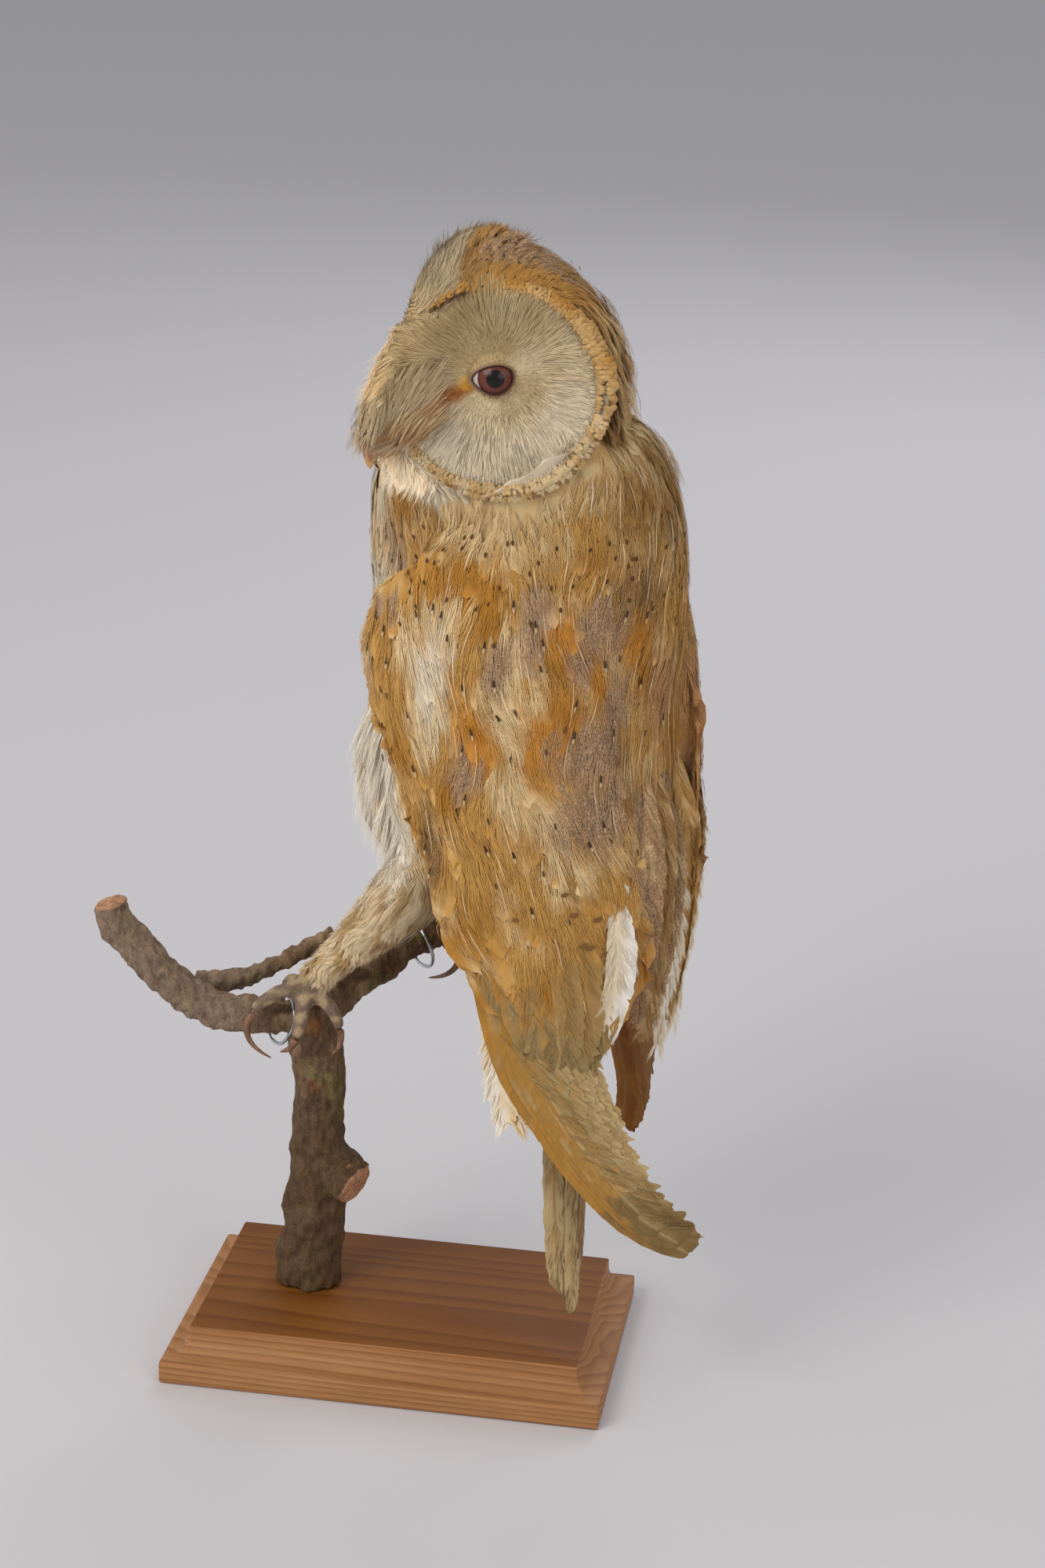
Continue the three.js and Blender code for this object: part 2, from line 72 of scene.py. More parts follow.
def heading(degrees):
    return vec(math.cos(math.radians(degrees)), math.sin(math.radians(degrees)), 0)


def srgb(red, green, blue):
    """A colour as seen on a screen, 0 to 255, as linear light."""
    c = np.array([red, green, blue]) / 255
    return np.where(c <= 0.04045, c / 12.92, ((c + 0.055) / 1.055) ** 2.4)


def ripple(points, size, seed, waves=9):
    """A smooth random value from about -1 to 1 at each point, changing over about size millimetres."""
    source = np.random.default_rng(seed)
    directions = unit(source.normal(size=(waves, 3)))
    lengths = size * source.uniform(0.7, 1.8, waves)
    phase = source.uniform(0, 2 * np.pi, waves)
    angle = points @ (directions * (2 * np.pi / lengths)[:, None]).T + phase
    return np.sin(angle).sum(axis=-1) / math.sqrt(waves / 2) / 1.4


def spline(rows, positions):
    """Smooth values at the given positions between rows of [position, value, value, ...]."""
    rows = np.array(rows, float)
    x, y = rows[:, 0], rows[:, 1:]
    slope = np.gradient(y, x, axis=0)
    positions = np.clip(np.atleast_1d(positions), x[0], x[-1])
    i = np.clip(np.searchsorted(x, positions) - 1, 0, len(x) - 2)
    step = (x[i + 1] - x[i])[:, None]
    t = ((positions - x[i]) / step[:, 0])[:, None]
    return (
        (2 * t**3 - 3 * t**2 + 1) * y[i]
        + (t**3 - 2 * t**2 + t) * step * slope[i]
        + (3 * t**2 - 2 * t**3) * y[i + 1]
        + (t**3 - t**2) * step * slope[i + 1]
    )


def make_object(name, points, faces, material, colours=None, maps=None):
    """A mesh object from points in millimetres.

    colours is one RGBA row a point, and maps holds one UV row a corner.
    """
    mesh = bpy.data.meshes.new(name)
    mesh.from_pydata((np.asarray(points) * MM).tolist(), [], [list(map(int, f)) for f in faces])
    mesh.polygons.foreach_set("use_smooth", [True] * len(mesh.polygons))
    if colours is not None:
        layer = mesh.color_attributes.new("tint", "FLOAT_COLOR", "POINT")
        layer.data.foreach_set("color", np.asarray(colours, np.float32).ravel())
    for label, uv in (maps or {}).items():
        layer = mesh.uv_layers.new(name=label)
        layer.data.foreach_set("uv", np.asarray(uv, np.float32).ravel())
    mesh.materials.append(material)
    mesh.update()
    obj = bpy.data.objects.new(name, mesh)
    bpy.context.scene.collection.objects.link(obj)
    return obj


def claim(obj, slot, *replaced):
    """Fixes a piece to the body and hides the CAD nodes whose place it takes. slot is not used."""
    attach(obj, "root")
    if replaced:
        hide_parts(*replaced)


def ring_quads(rings, around):
    """The faces between closed rings of points, ring by ring."""
    quads = []
    for i in range(rings):
        for j in range(around):
            k = (j + 1) % around
            quads.append([i * around + j, (i + 1) * around + j, (i + 1) * around + k, i * around + k])
    return quads


def mesh_arrays(mesh):
    """Points in millimetres, and triangles, of a mesh."""
    mesh.calc_loop_triangles()
    points = np.empty(len(mesh.vertices) * 3)
    mesh.vertices.foreach_get("co", points)
    triangles = np.empty(len(mesh.loop_triangles) * 3, int)
    mesh.loop_triangles.foreach_get("vertices", triangles)
    return points.reshape(-1, 3) / MM, triangles.reshape(-1, 3)


# ------------------------------------------------------------------ camera, floor and light

CAMERA_PLACE = vec(178.743, -953.392, 543.304)
CAMERA_TURN = math.radians(8.52262)
CAMERA_PITCH = math.radians(19.20764)
CAMERA_ROLL = math.radians(1.77878)
CAMERA_LENS = 72.0


def add_camera():
    ahead = vec(
        -math.sin(CAMERA_TURN) * math.cos(CAMERA_PITCH),
        math.cos(CAMERA_TURN) * math.cos(CAMERA_PITCH),
        -math.sin(CAMERA_PITCH),
    )
    right = vec(math.cos(CAMERA_TURN), math.sin(CAMERA_TURN), 0)
    up = np.cross(right, ahead)
    rolled_right = math.cos(CAMERA_ROLL) * right + math.sin(CAMERA_ROLL) * up
    rolled_up = -math.sin(CAMERA_ROLL) * right + math.cos(CAMERA_ROLL) * up
    data = bpy.data.cameras.new("camera")
    data.lens = CAMERA_LENS
    data.sensor_width = 36.0
    data.clip_start = 0.01
    camera = bpy.data.objects.new("camera", data)
    turn = Matrix([list(row) for row in np.array([rolled_right, rolled_up, -ahead]).T]).to_4x4()
    camera.matrix_world = Matrix.Translation(Vector(CAMERA_PLACE * MM)) @ turn
    bpy.context.scene.collection.objects.link(camera)
    bpy.context.scene.camera = camera


def add_area_light(name, place, target, size, power, colour):
    data = bpy.data.lights.new(name, "AREA")
    data.shape = "DISK"
    data.size = size
    data.energy = power
    data.color = colour
    light = bpy.data.objects.new(name, data)
    light.location = place
    aim = Vector(target) - Vector(place)
    light.rotation_euler = aim.to_track_quat("-Z", "Y").to_euler()
    bpy.context.scene.collection.objects.link(light)


def add_stage():
    world = bpy.data.worlds.new("room")
    world.use_nodes = True
    world.node_tree.nodes["Background"].inputs["Color"].default_value = (0.84, 0.85, 0.88, 1)
    world.node_tree.nodes["Background"].inputs["Strength"].default_value = 0.50
    bpy.context.scene.world = world
    bpy.context.scene.view_settings.view_transform = "Standard"
    middle = (0.02, 0.0, 0.2)
    add_area_light("key", (-1.0, -1.5, 1.5), middle, 1.5, 26, (1.0, 0.96, 0.90))
    add_area_light("window", (-1.6, -0.1, 0.35), middle, 1.2, 4, (0.96, 0.97, 1.0))
    add_area_light("fill", (1.6, -1.3, 0.9), middle, 1.4, 9, (1.0, 0.96, 0.92))
    add_area_light("back", (0.4, 1.7, 1.4), middle, 1.2, 9, (0.95, 0.97, 1.0))

    side = 12000
    cloth = NodeMaterial("stage_floor")
    cloth.finish(srgb(212, 209, 212), 0.8)
    floor = make_object(
        "stage_floor",
        [[-side, -side, -0.2], [side, -side, -0.2], [side, side, -0.2], [-side, side, -0.2]],
        [[0, 1, 2, 3]],
        cloth.material,
    )


# ------------------------------------------------------------------ materials


# Sockets of a mix node when it mixes colours.
MIX_A, MIX_B, MIX_RESULT = 6, 7, 2


class NodeMaterial:
    """A material made of nodes, with short calls for the usual ones."""

    def __init__(self, name):
        self.material = bpy.data.materials.new(name)
        self.material.use_nodes = True
        self.tree = self.material.node_tree
        self.shader = self.tree.nodes["Principled BSDF"]

    def finish(self, colour, roughness, **values):
        self.set(self.shader, Roughness=roughness, **values)
        if colour is not None:
            self.shader.inputs["Base Color"].default_value = (*colour, 1)
        return self

    def set(self, node, **values):
        for key, value in values.items():
            node.inputs[key.replace("_", " ")].default_value = value

    def node(self, kind, **settings):
        node = self.tree.nodes.new(kind)
        for key, value in settings.items():
            setattr(node, key, value)
        return node

    def feed(self, value, socket):
        if isinstance(value, bpy.types.NodeSocket):
            self.tree.links.new(value, socket)
        elif isinstance(value, (int, float)) or len(value) == len(socket.default_value):
            socket.default_value = value
        else:
            socket.default_value = (*value, 1)

    def math(self, operation, *values):
        node = self.node("ShaderNodeMath", operation=operation)
        for value, socket in zip(values, node.inputs):
            self.feed(value, socket)
        return node.outputs[0]

    def mix(self, amount, a, b, blend="MIX"):
        node = self.node("ShaderNodeMix", data_type="RGBA", blend_type=blend)
        self.feed(amount, node.inputs["Factor"])
        self.feed(a, node.inputs[MIX_A])
        self.feed(b, node.inputs[MIX_B])
        return node.outputs[MIX_RESULT]

    def place(self, scale=(1, 1, 1)):
        """Object coordinates, stretched."""
        coordinates = self.node("ShaderNodeTexCoord").outputs["Object"]
        mapping = self.node("ShaderNodeMapping")
        mapping.inputs["Scale"].default_value = scale
        self.feed(coordinates, mapping.inputs["Vector"])
        return mapping.outputs["Vector"]

    def noise(self, where, size_mm, detail=3.0, roughness=0.55, distortion=0.0):
        node = self.node("ShaderNodeTexNoise")
        self.feed(where, node.inputs["Vector"])
        self.set(node, Scale=1 / (size_mm * MM), Detail=detail, Roughness=roughness, Distortion=distortion)
        return node.outputs["Fac"]

    def ramp(self, value, *stops):
        node = self.node("ShaderNodeValToRGB")
        elements = node.color_ramp.elements
        while len(elements) < len(stops):
            elements.new(0.5)
        for element, (position, colour) in zip(elements, stops):
            element.position = position
            element.color = (*colour, 1) if hasattr(colour, "__len__") else (colour, colour, colour, 1)
        self.feed(value, node.inputs["Fac"])
        return node.outputs["Color"]

    def tint(self):
        node = self.node("ShaderNodeAttribute", attribute_name="tint")
        return node.outputs["Color"], node.outputs["Alpha"]

    def peppered(self, colour, amount):
        """The finely freckled grey of a barn owl's back, where amount is high."""
        pepper = self.noise(self.place(), 0.62, 1.0, 0.5, 0.5)
        freckle = self.ramp(
            pepper, (0.38, (0.60, 0.58, 0.60)), (0.50, (0.95, 0.95, 0.96)), (0.62, (1.22, 1.22, 1.2))
        )
        return self.mix(amount, colour, self.mix(1.0, colour, freckle, "MULTIPLY"))

    def along(self, label):
        """The two coordinates of a UV map."""
        node = self.node("ShaderNodeSeparateXYZ")
        self.feed(self.node("ShaderNodeUVMap", uv_map=label).outputs["UV"], node.inputs[0])
        return node.outputs[0], node.outputs[1]

    def bump(self, height, strength, depth_mm):
        node = self.node("ShaderNodeBump")
        self.set(node, Strength=strength, Distance=depth_mm * MM)
        self.feed(height, node.inputs["Height"])
        self.feed(node.outputs["Normal"], self.shader.inputs["Normal"])

    def colour(self, value):
        self.feed(value, self.shader.inputs["Base Color"])

    def rough(self, value):
        self.feed(value, self.shader.inputs["Roughness"])


BARB_STREAK = 0.5  # the size of the fine streaks in the plumage


def feather_material(name):
    """Plumage: the tint of each tuft, fine barbs, and a peppered grey where the tint's alpha asks for it."""
    m = NodeMaterial(name)
    m.finish(None, 0.82, Specular_IOR_Level=0.12, Sheen_Weight=0.04, Sheen_Roughness=0.5)
    tint, grey = m.tint()
    fine = m.noise(m.place(), BARB_STREAK, 2.0, 0.6)
    colour = m.mix(1.0, tint, m.ramp(fine, (0.30, 0.80), (0.70, 1.0)), "MULTIPLY")
    m.colour(m.peppered(colour, grey))
    m.bump(fine, 0.2, 0.25)
    return m.material


def vane_material(name):
    """A feather with a shaft: barbs slant from the shaft to the edge."""
    m = NodeMaterial(name)
    m.finish(None, 0.75, Specular_IOR_Level=0.15, Sheen_Weight=0.04, Sheen_Roughness=0.4)
    tint, grey = m.tint()
    across, along = m.along("vane")
    out = m.math("ABSOLUTE", m.math("SUBTRACT", across, 0.5))
    barb = m.math("SUBTRACT", m.math("MULTIPLY", along, 46.0), m.math("MULTIPLY", out, 26.0))
    place = m.node("ShaderNodeCombineXYZ")
    m.feed(barb, place.inputs[0])
    m.feed(m.math("MULTIPLY", across, 2.5), place.inputs[1])
    lines = m.node("ShaderNodeTexNoise")
    m.feed(place.outputs[0], lines.inputs["Vector"])
    m.set(lines, Scale=1.0, Detail=3.0, Roughness=0.65)
    value = lines.outputs["Fac"]
    colour = m.mix(1.0, tint, m.ramp(value, (0.30, 0.80), (0.68, 1.02)), "MULTIPLY")
    m.colour(m.peppered(colour, grey))
    m.bump(value, 0.35, 0.3)
    return m.material


# ------------------------------------------------------------------ the head's and the face's own frames


def turn_z(degrees):
    c, s = math.cos(math.radians(degrees)), math.sin(math.radians(degrees))
    return np.array([[c, -s, 0], [s, c, 0], [0, 0, 1]])


def turn_y(degrees):
    c, s = math.cos(math.radians(degrees)), math.sin(math.radians(degrees))
    return np.array([[c, 0, s], [0, 1, 0], [-s, 0, c]])


class Place:
    """A frame with its own origin and axes: x forward, y to the owl's left, z up."""

    def __init__(self, origin, axes):
        self.origin = origin
        self.axes = axes

    def out(self, local):
        return self.origin + np.asarray(local, float) @ self.axes.T

    def into(self, points):
        return (points - self.origin) @ self.axes

    def direct(self, local):
        return np.asarray(local, float) @ self.axes.T


HEAD = Place(vec(28, -12, 350), turn_z(-131) @ turn_y(8))
DISC_HALF_WIDTH = 34.5
DISC_HALF_HEIGHT = 31.0
EYE_RADIUS = 8.0
SIDES = {"left": 1, "right": -1}


def disc_place(side):
    return Place(HEAD.out(vec(19.5, side * 21.4, -3)), HEAD.axes @ turn_z(side * 54) @ turn_y(-9))


DISC = {name: disc_place(side) for name, side in SIDES.items()}
EYE = {name: DISC[name].out(vec(-9.5, -side * 1.2, 4.5)) for name, side in SIDES.items()}


def disc_share(name, points):
    """How far out on the facial disc each point is: 0 in the middle, 1 at the rim."""
    local = DISC[name].into(points)
    return np.hypot(local[:, 1] / DISC_HALF_WIDTH, local[:, 2] / DISC_HALF_HEIGHT)


# ------------------------------------------------------------------ skin

FLESH = {
    "head": ["head", "face_ridge"],
    "disc": ["facial_disc_left", "facial_disc_right"],
    "body": ["neck", "trunk"],
    "wing": ["wing_left", "wing_right"],
    "leg": ["thigh_left", "thigh_right", "tarsus_left", "tarsus_right"],
    "toe": ["foot_left", "foot_right"]
    + [f"toe_{side}_{toe}" for side in SIDES for toe in ("inner", "middle", "outer", "hind")],
}
ZONES = list(FLESH)
COAT_DEPTH = {"head": 2.4, "disc": 1.0, "body": 4.2, "wing": 3.2, "leg": 1.4, "toe": 0.1}
# How strongly each zone's surface is smoothed.
SMOOTHING = {"head": 1.0, "disc": 0.8, "body": 1.0, "wing": 1.0, "leg": 0.6, "toe": 0.08}
UNION_OVERLAP = 0.6
SKIN_VOXEL = 1.3
MOST_OF_THICKNESS = 0.36  # the skin sinks by at most this share of the flesh, before smoothing


def grown_part(name):
    """A CAD node's points and triangles, grown a little so that it runs into its neighbours."""
    part = bmesh.new()
    part.from_mesh(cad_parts[name].data)
    bmesh.ops.remove_doubles(part, verts=part.verts, dist=1e-6)
    part.normal_update()
    for vertex in part.verts:
        vertex.co += vertex.normal * UNION_OVERLAP * MM
    mesh = bpy.data.meshes.new(name)
    part.to_mesh(mesh)
    part.free()
    return mesh_arrays(mesh)


def remeshed(name, parts, voxel_mm):
    """One closed surface round all the parts, as points and quads, without sealed hollows."""
    points, faces, count = [], [], 0
    for part_points, part_faces in parts:
        points.append(part_points)
        faces.append(part_faces + count)
        count += len(part_points)
    blank = bpy.data.materials.new(name + "_blank")
    obj = make_object(name + "_parts", np.concatenate(points), np.concatenate(faces), blank)
    modifier = obj.modifiers.new("join", "REMESH")
    modifier.mode = "VOXEL"
    modifier.voxel_size = voxel_mm * MM
    view = bpy.context.evaluated_depsgraph_get()
    mesh = bpy.data.meshes.new_from_object(obj.evaluated_get(view))
    bpy.data.objects.remove(obj)
    mesh.materials.clear()
    shape = bmesh.new()
    shape.from_mesh(mesh)
    shape.faces.ensure_lookup_table()
    seen, hollow = set(), []
    for start in shape.faces:
        if start.index in seen:
            continue
        seen.add(start.index)
        island, volume, queue = [], 0.0, [start]
        while queue:
            face = queue.pop()
            island.append(face)
            volume += face.calc_center_median().dot(face.normal) * face.calc_area()
            for edge in face.edges:
                for other in edge.link_faces:
                    if other.index not in seen:
                        seen.add(other.index)
                        queue.append(other)
        if volume < 0:
            hollow += island
    bmesh.ops.delete(shape, geom=hollow, context="FACES")
    loose = [v for v in shape.verts if not v.link_faces]
    bmesh.ops.delete(shape, geom=loose, context="VERTS")
    shape.to_mesh(mesh)
    shape.free()
    return mesh


def relax(points, edges, amount, rounds):
    """Moves each point towards the mean of its neighbours."""
    near = np.concatenate([edges, edges[:, ::-1]])
    count = np.bincount(near[:, 0], minlength=len(points))[:, None]
    for _ in range(rounds):
        total = np.stack(
            [np.bincount(near[:, 0], points[near[:, 1], k], len(points)) for k in range(points.shape[1])], 1
        )
        points = points + amount * (total / np.maximum(count, 1) - points)
    return points


def point_normals(points, triangles):
    a, b, c = (points[triangles[:, k]] for k in range(3))
    face = np.cross(b - a, c - a)
    total = np.zeros_like(points)
    for k in range(3):
        for axis in range(3):
            total[:, axis] += np.bincount(triangles[:, k], face[:, axis], len(points))
    return unit(total)


class Skin:
    """The one skin under the coat, with what the coat needs to know of it."""

    def __init__(self):
        parts = {zone: [grown_part(name) for name in names] for zone, names in FLESH.items()}
        mesh = remeshed("skin", [part for group in parts.values() for part in group], SKIN_VOXEL)
        points, triangles = mesh_arrays(mesh)
        edges = np.empty(len(mesh.edges) * 2, int)
        mesh.edges.foreach_get("vertices", edges)
        edges = edges.reshape(-1, 2)
        zone = self.zones(points, parts)
        depth = np.array([COAT_DEPTH[name] for name in ZONES])[zone] + UNION_OVERLAP
        ease = np.array([SMOOTHING[name] for name in ZONES])[zone][:, None]
        ease = relax(ease, edges, 0.5, 6)
        points = relax(points, edges, 0.5 * ease, 10)
        outward = point_normals(points, triangles)
        tree = BVHTree.FromPolygons(points.tolist(), triangles.tolist())
        thick = np.full(len(points), 60.0)
        for i, (p, n) in enumerate(zip(points, outward)):
            hit = tree.ray_cast(Vector(p - 0.05 * n), Vector(-n), 60)
            if hit[3] is not None:
                thick[i] = hit[3]
        depth = np.minimum(depth, MOST_OF_THICKNESS * thick)[:, None]
        depth = relax(depth, edges, 0.6, 14)
        points = relax(points - outward * depth, edges, 0.4 * ease, 4)

        mesh.vertices.foreach_set("co", (points * MM).ravel())
        mesh.polygons.foreach_set("use_smooth", [True] * len(mesh.polygons))
        mesh.update()
        self.obj = bpy.data.objects.new("skin", mesh)
        bpy.context.scene.collection.objects.link(self.obj)
        self.unwrap()
        self.points, self.triangles = mesh_arrays(mesh)
        self.normals = point_normals(self.points, self.triangles)
        corners = np.empty(len(mesh.loop_triangles) * 3, int)
        mesh.loop_triangles.foreach_get("loops", corners)
        uv = np.empty(len(mesh.loops) * 2)
        mesh.uv_layers["OFBake"].data.foreach_get("uv", uv)
        self.uv = uv.reshape(-1, 2)[corners].reshape(-1, 3, 2)
        self.zone = zone[self.triangles[:, 0]]
        self.point_zone = zone
        self.tree = BVHTree.FromPolygons(self.points.tolist(), self.triangles.tolist())
        self.face_normals = unit(self.normals[self.triangles].mean(axis=1))

    def zones(self, points, parts):
        """The zone whose CAD nodes are nearest to each point."""
        best = np.full(len(points), 1e9)
        zone = np.zeros(len(points), int)
        for k, name in enumerate(ZONES):
            for part_points, part_faces in parts[name]:
                low, high = part_points.min(0) - 4, part_points.max(0) + 4
                near = np.flatnonzero(((points > low) & (points < high)).all(axis=1))
                tree = BVHTree.FromPolygons(part_points.tolist(), part_faces.tolist())
                for i in near:
                    distance = tree.find_nearest(Vector(points[i]))[3]
                    if distance < best[i] - (0.4 if name == "wing" else 0):
                        best[i] = distance
                        zone[i] = k
        return zone

    def unwrap(self):
        mesh = self.obj.data
        mesh.uv_layers.new(name="OFBake")
        bpy.context.view_layer.objects.active = self.obj
        self.obj.select_set(True)
        bpy.ops.object.mode_set(mode="EDIT")
        bpy.ops.mesh.select_all(action="SELECT")
        bpy.ops.uv.smart_project(angle_limit=math.radians(66), island_margin=0.004)
        bpy.ops.object.mode_set(mode="OBJECT")
        self.obj.select_set(False)

    def snap(self, points):
        """The nearest place on the skin to each point, and the skin's direction outwards there."""
        place = np.empty_like(points)
        face = np.empty(len(points), int)
        for i, p in enumerate(points):
            hit = self.tree.find_nearest(Vector(p))
            place[i] = hit[0]
            face[i] = hit[2]
        return place, self.face_normals[face]

    def uv_near(self, points):
        """The unwrap place of the triangle nearest to each point."""
        index = np.array([self.tree.find_nearest(Vector(p))[2] for p in points])
        return self.uv[index].mean(axis=1)

    def scatter(self, zones, spacing, keep=None):
        """Roots about spacing millimetres apart on these zones: places, outward ways and unwrap places."""
        chosen = np.flatnonzero(np.isin(self.zone, [ZONES.index(name) for name in zones]))
        corner = self.points[self.triangles[chosen]]
        area = np.linalg.norm(np.cross(corner[:, 1] - corner[:, 0], corner[:, 2] - corner[:, 0]), axis=1) / 2
        wanted = int(area.sum() / spacing**2 * 4)
        pick = chosen[rng.choice(len(chosen), wanted, p=area / area.sum())]
        share = rng.dirichlet((1, 1, 1), wanted)
        place = (self.points[self.triangles[pick]] * share[:, :, None]).sum(axis=1)
        cell = np.floor(place / (spacing * 1.12)).astype(int)
        _, first = np.unique(cell, axis=0, return_index=True)
        if keep is not None:
            first = first[keep(place[first])]
        outward = unit((self.normals[self.triangles[pick[first]]] * share[first][:, :, None]).sum(axis=1))
        uv = (self.uv[pick[first]] * share[first][:, :, None]).sum(axis=1)
        return place[first], outward, uv


# ------------------------------------------------------------------ coat

PATCH = 0.003  # the size of a tuft's own place on the unwrap


class Coat:
    """Gathers tufts until they are made into one piece."""

    def __init__(self, name, material, slot):
        self.name, self.material, self.slot = name, material, slot
        self.points, self.faces, self.colours, self.uv, self.vane = [], [], [], [], []
        self.count = 0

    def add(self, points, faces, colours, local, roots, patch=PATCH):
        """Adds equal tufts. points and colours: (tufts, points of a tuft, ...).

        faces and local are those of one tuft, and roots are the unwrap places.
        """
        tufts, size = points.shape[:2]
        start = self.count + np.arange(tufts) * size
        self.faces.append((faces[None] + start[:, None, None]).reshape(-1, 3))
        self.points.append(points.reshape(-1, 3))
        self.colours.append(colours.reshape(-1, 4))
        self.uv.append((roots[:, None] + (local[None] - 0.5) * patch).reshape(-1, 2))
        self.vane.append(np.broadcast_to(local, (tufts, size, 2)).reshape(-1, 2))
        self.count += tufts * size

    def make(self, *replaced):
        points, faces = np.concatenate(self.points), np.concatenate(self.faces)
        corner = faces.ravel()
        uv, vane = np.concatenate(self.uv)[corner], np.concatenate(self.vane)[corner]
        maps = {"OFBake": uv, "vane": vane}
        piece = make_object(self.name, points, faces, self.material, np.concatenate(self.colours), maps)
        claim(piece, self.slot, *replaced)


def courses(skin, place, outward, flow, length, depth, steps=3, rise=(0.1, 1.0)):
    """Centre lines that follow the skin downstream from their roots and rise from it by depth."""
    count = len(place)
    line = np.empty((count, steps + 1, 3))
    normal_line, ahead_line = np.empty_like(line), np.empty_like(line)
    point, normal = place, outward
    ahead = flow(point, normal)
    for k in range(steps + 1):
        share = k / steps
        height = depth * mix(rise[0], rise[1], share)
        line[:, k] = point + normal * height[:, None]
        normal_line[:, k], ahead_line[:, k] = normal, ahead
        if k < steps:
            point, normal = skin.snap(point + ahead * (length / steps)[:, None])
            ahead = unit(mix(ahead, flow(point, normal), 0.6))
            ahead = unit(ahead - normal * (ahead * normal).sum(axis=1, keepdims=True))
    return line, normal_line, ahead_line


def at_share(line, share):
    """The value of each centre line at its own share of the length."""
    steps = line.shape[1] - 1
    position = np.clip(share, 0, 1) * steps
    i = np.minimum(position.astype(int), steps - 1)
    rows = np.arange(len(line))
    return mix(line[rows, i], line[rows, i + 1], (position - i)[:, None])


STRAND_FACES = np.array([[0, 1, 3], [0, 3, 2], [2, 3, 5], [2, 5, 4], [4, 5, 6]])
STRAND_ROWS = (0.0, 0.38, 0.74, 1.0)
STRAND_WIDTHS = (0.55, 1.0, 0.72, 0.0)
STRAND_LOCAL = np.array([[0.3, 0.1], [0.7, 0.1], [0.2, 0.4], [0.8, 0.4], [0.3, 0.7], [0.7, 0.7], [0.5, 0.95]])


def add_locks(coat, course, roots, colours, width, strand, barbs, fan=1.0, ragged=0.25, lift=0.35, tips=None):
    """Tufts of barbs that fan out from each centre line.

    colours is one RGBA a tuft, and tips is another for the ends of the barbs.
    """
    line, normals, aheads = course
    count = len(line)
    tips = colours if tips is None else tips
    for j in range(barbs):
        spread = (2 * (j + 0.5) / barbs - 1 + rng.normal(0, 0.35 / barbs, count)) * fan
        start = rng.uniform(0.0, 0.28, count)
        end = 1 - 0.28 * spread**2 - rng.uniform(0, ragged, count)
        high = rng.normal(0, lift, count)
        shade = rng.normal(1, 0.045, count)[:, None]
        dim = np.concatenate([np.repeat(shade, 3, 1), shade**0], 1)
        points, paint = [], []
        for row, broad in zip(STRAND_ROWS, STRAND_WIDTHS):
            share = mix(start, end, row)
            normal = unit(at_share(normals, share))
            ahead = unit(at_share(aheads, share))
            side = np.cross(normal, ahead)
            out = width / 2 * spread * row**0.75 * (1 - 0.25 * row * row)
            centre = at_share(line, share) + side * out[:, None]
            centre = centre + normal * (high * row - 0.10 * width * spread**2 * row)[:, None]
            half = side * (strand * broad / 2)
            colour = mix(colours, tips, smooth(0.45, 0.95, row)) * dim
            points += [centre - half, centre + half] if broad else [centre]
            paint += [colour, colour] if broad else [colour]
        coat.add(np.stack(points, 1), STRAND_FACES, np.stack(paint, 1), STRAND_LOCAL, roots)


def vane_grid(rows, columns):
    """Triangles and local places of a feather's vane with this many rows and columns of points."""
    index = np.arange(rows * columns).reshape(rows, columns)
    a, b, c, d = index[:-1, :-1], index[:-1, 1:], index[1:, 1:], index[1:, :-1]
    faces = np.concatenate([np.stack([a, b, c], -1).reshape(-1, 3), np.stack([a, c, d], -1).reshape(-1, 3)])
    along, across = np.meshgrid(np.linspace(0, 1, rows), np.linspace(0, 1, columns), indexing="ij")
    return faces, np.stack([across.ravel(), along.ravel()], 1)


def vane_outline(share):
    """Half width of a covert, as a share of its greatest, from its root to its round tip."""
    return np.sqrt(np.clip(1 - np.clip((share - 0.62) / 0.38, 0, 1) ** 2, 0, 1)) * smooth(-0.15, 0.3, share)


def add_vanes(coat, course, roots, paint, width, rows=6, columns=5, camber=0.10, slant=0.35, ragged=0.0):
    """Whole vanes along centre lines. paint(along, across) gives the RGBA of every tuft there."""
    line, normals, aheads = course
    faces, local = vane_grid(rows, columns)
    points, colours = [], []
    for across, along in local:
        out = 2 * across - 1
        share = np.full(len(line), along) - slant * abs(out) * 0.18 * along * (1 - along)
        if abs(out) > 0.9 or along == 1:
            share = share - ragged * rng.random(len(line)) * along
        normal, ahead = unit(at_share(normals, share)), unit(at_share(aheads, share))
        side = np.cross(normal, ahead)
        half = width / 2 * vane_outline(np.array([min(along, 0.985)]))
        if ragged and abs(out) > 0.9:
            half = half * (1 - ragged * rng.random(len(line)))
        points.append(
            at_share(line, share) + side * (half * out)[:, None] - normal * (camber * width * out**2)[:, None]
        )
        colours.append(paint(along, out))
    coat.add(np.stack(points, 1), faces, np.stack(colours, 1), local, roots)


# ------------------------------------------------------------------ markings of the plumage

GOLD = srgb(204, 155, 84)
DEEP_GOLD = srgb(188, 131, 54)
ORANGE = srgb(206, 140, 56)
CREAM = srgb(232, 203, 152)
WHITE = srgb(242, 232, 212)
DUSKY = srgb(168, 130, 82)
BROWN = srgb(146, 106, 62)
GREY = srgb(188, 154, 120)
FACE_PALE = srgb(226, 206, 168)
FACE_BUFF = srgb(194, 168, 122)
RUST = srgb(176, 106, 44)
HAIR_BUFF = srgb(190, 161, 123)
TOE_GREY = srgb(124, 104, 86)

FRONT = heading(155)
LEFT_OUT = heading(-98)
RIGHT_OUT = heading(52)

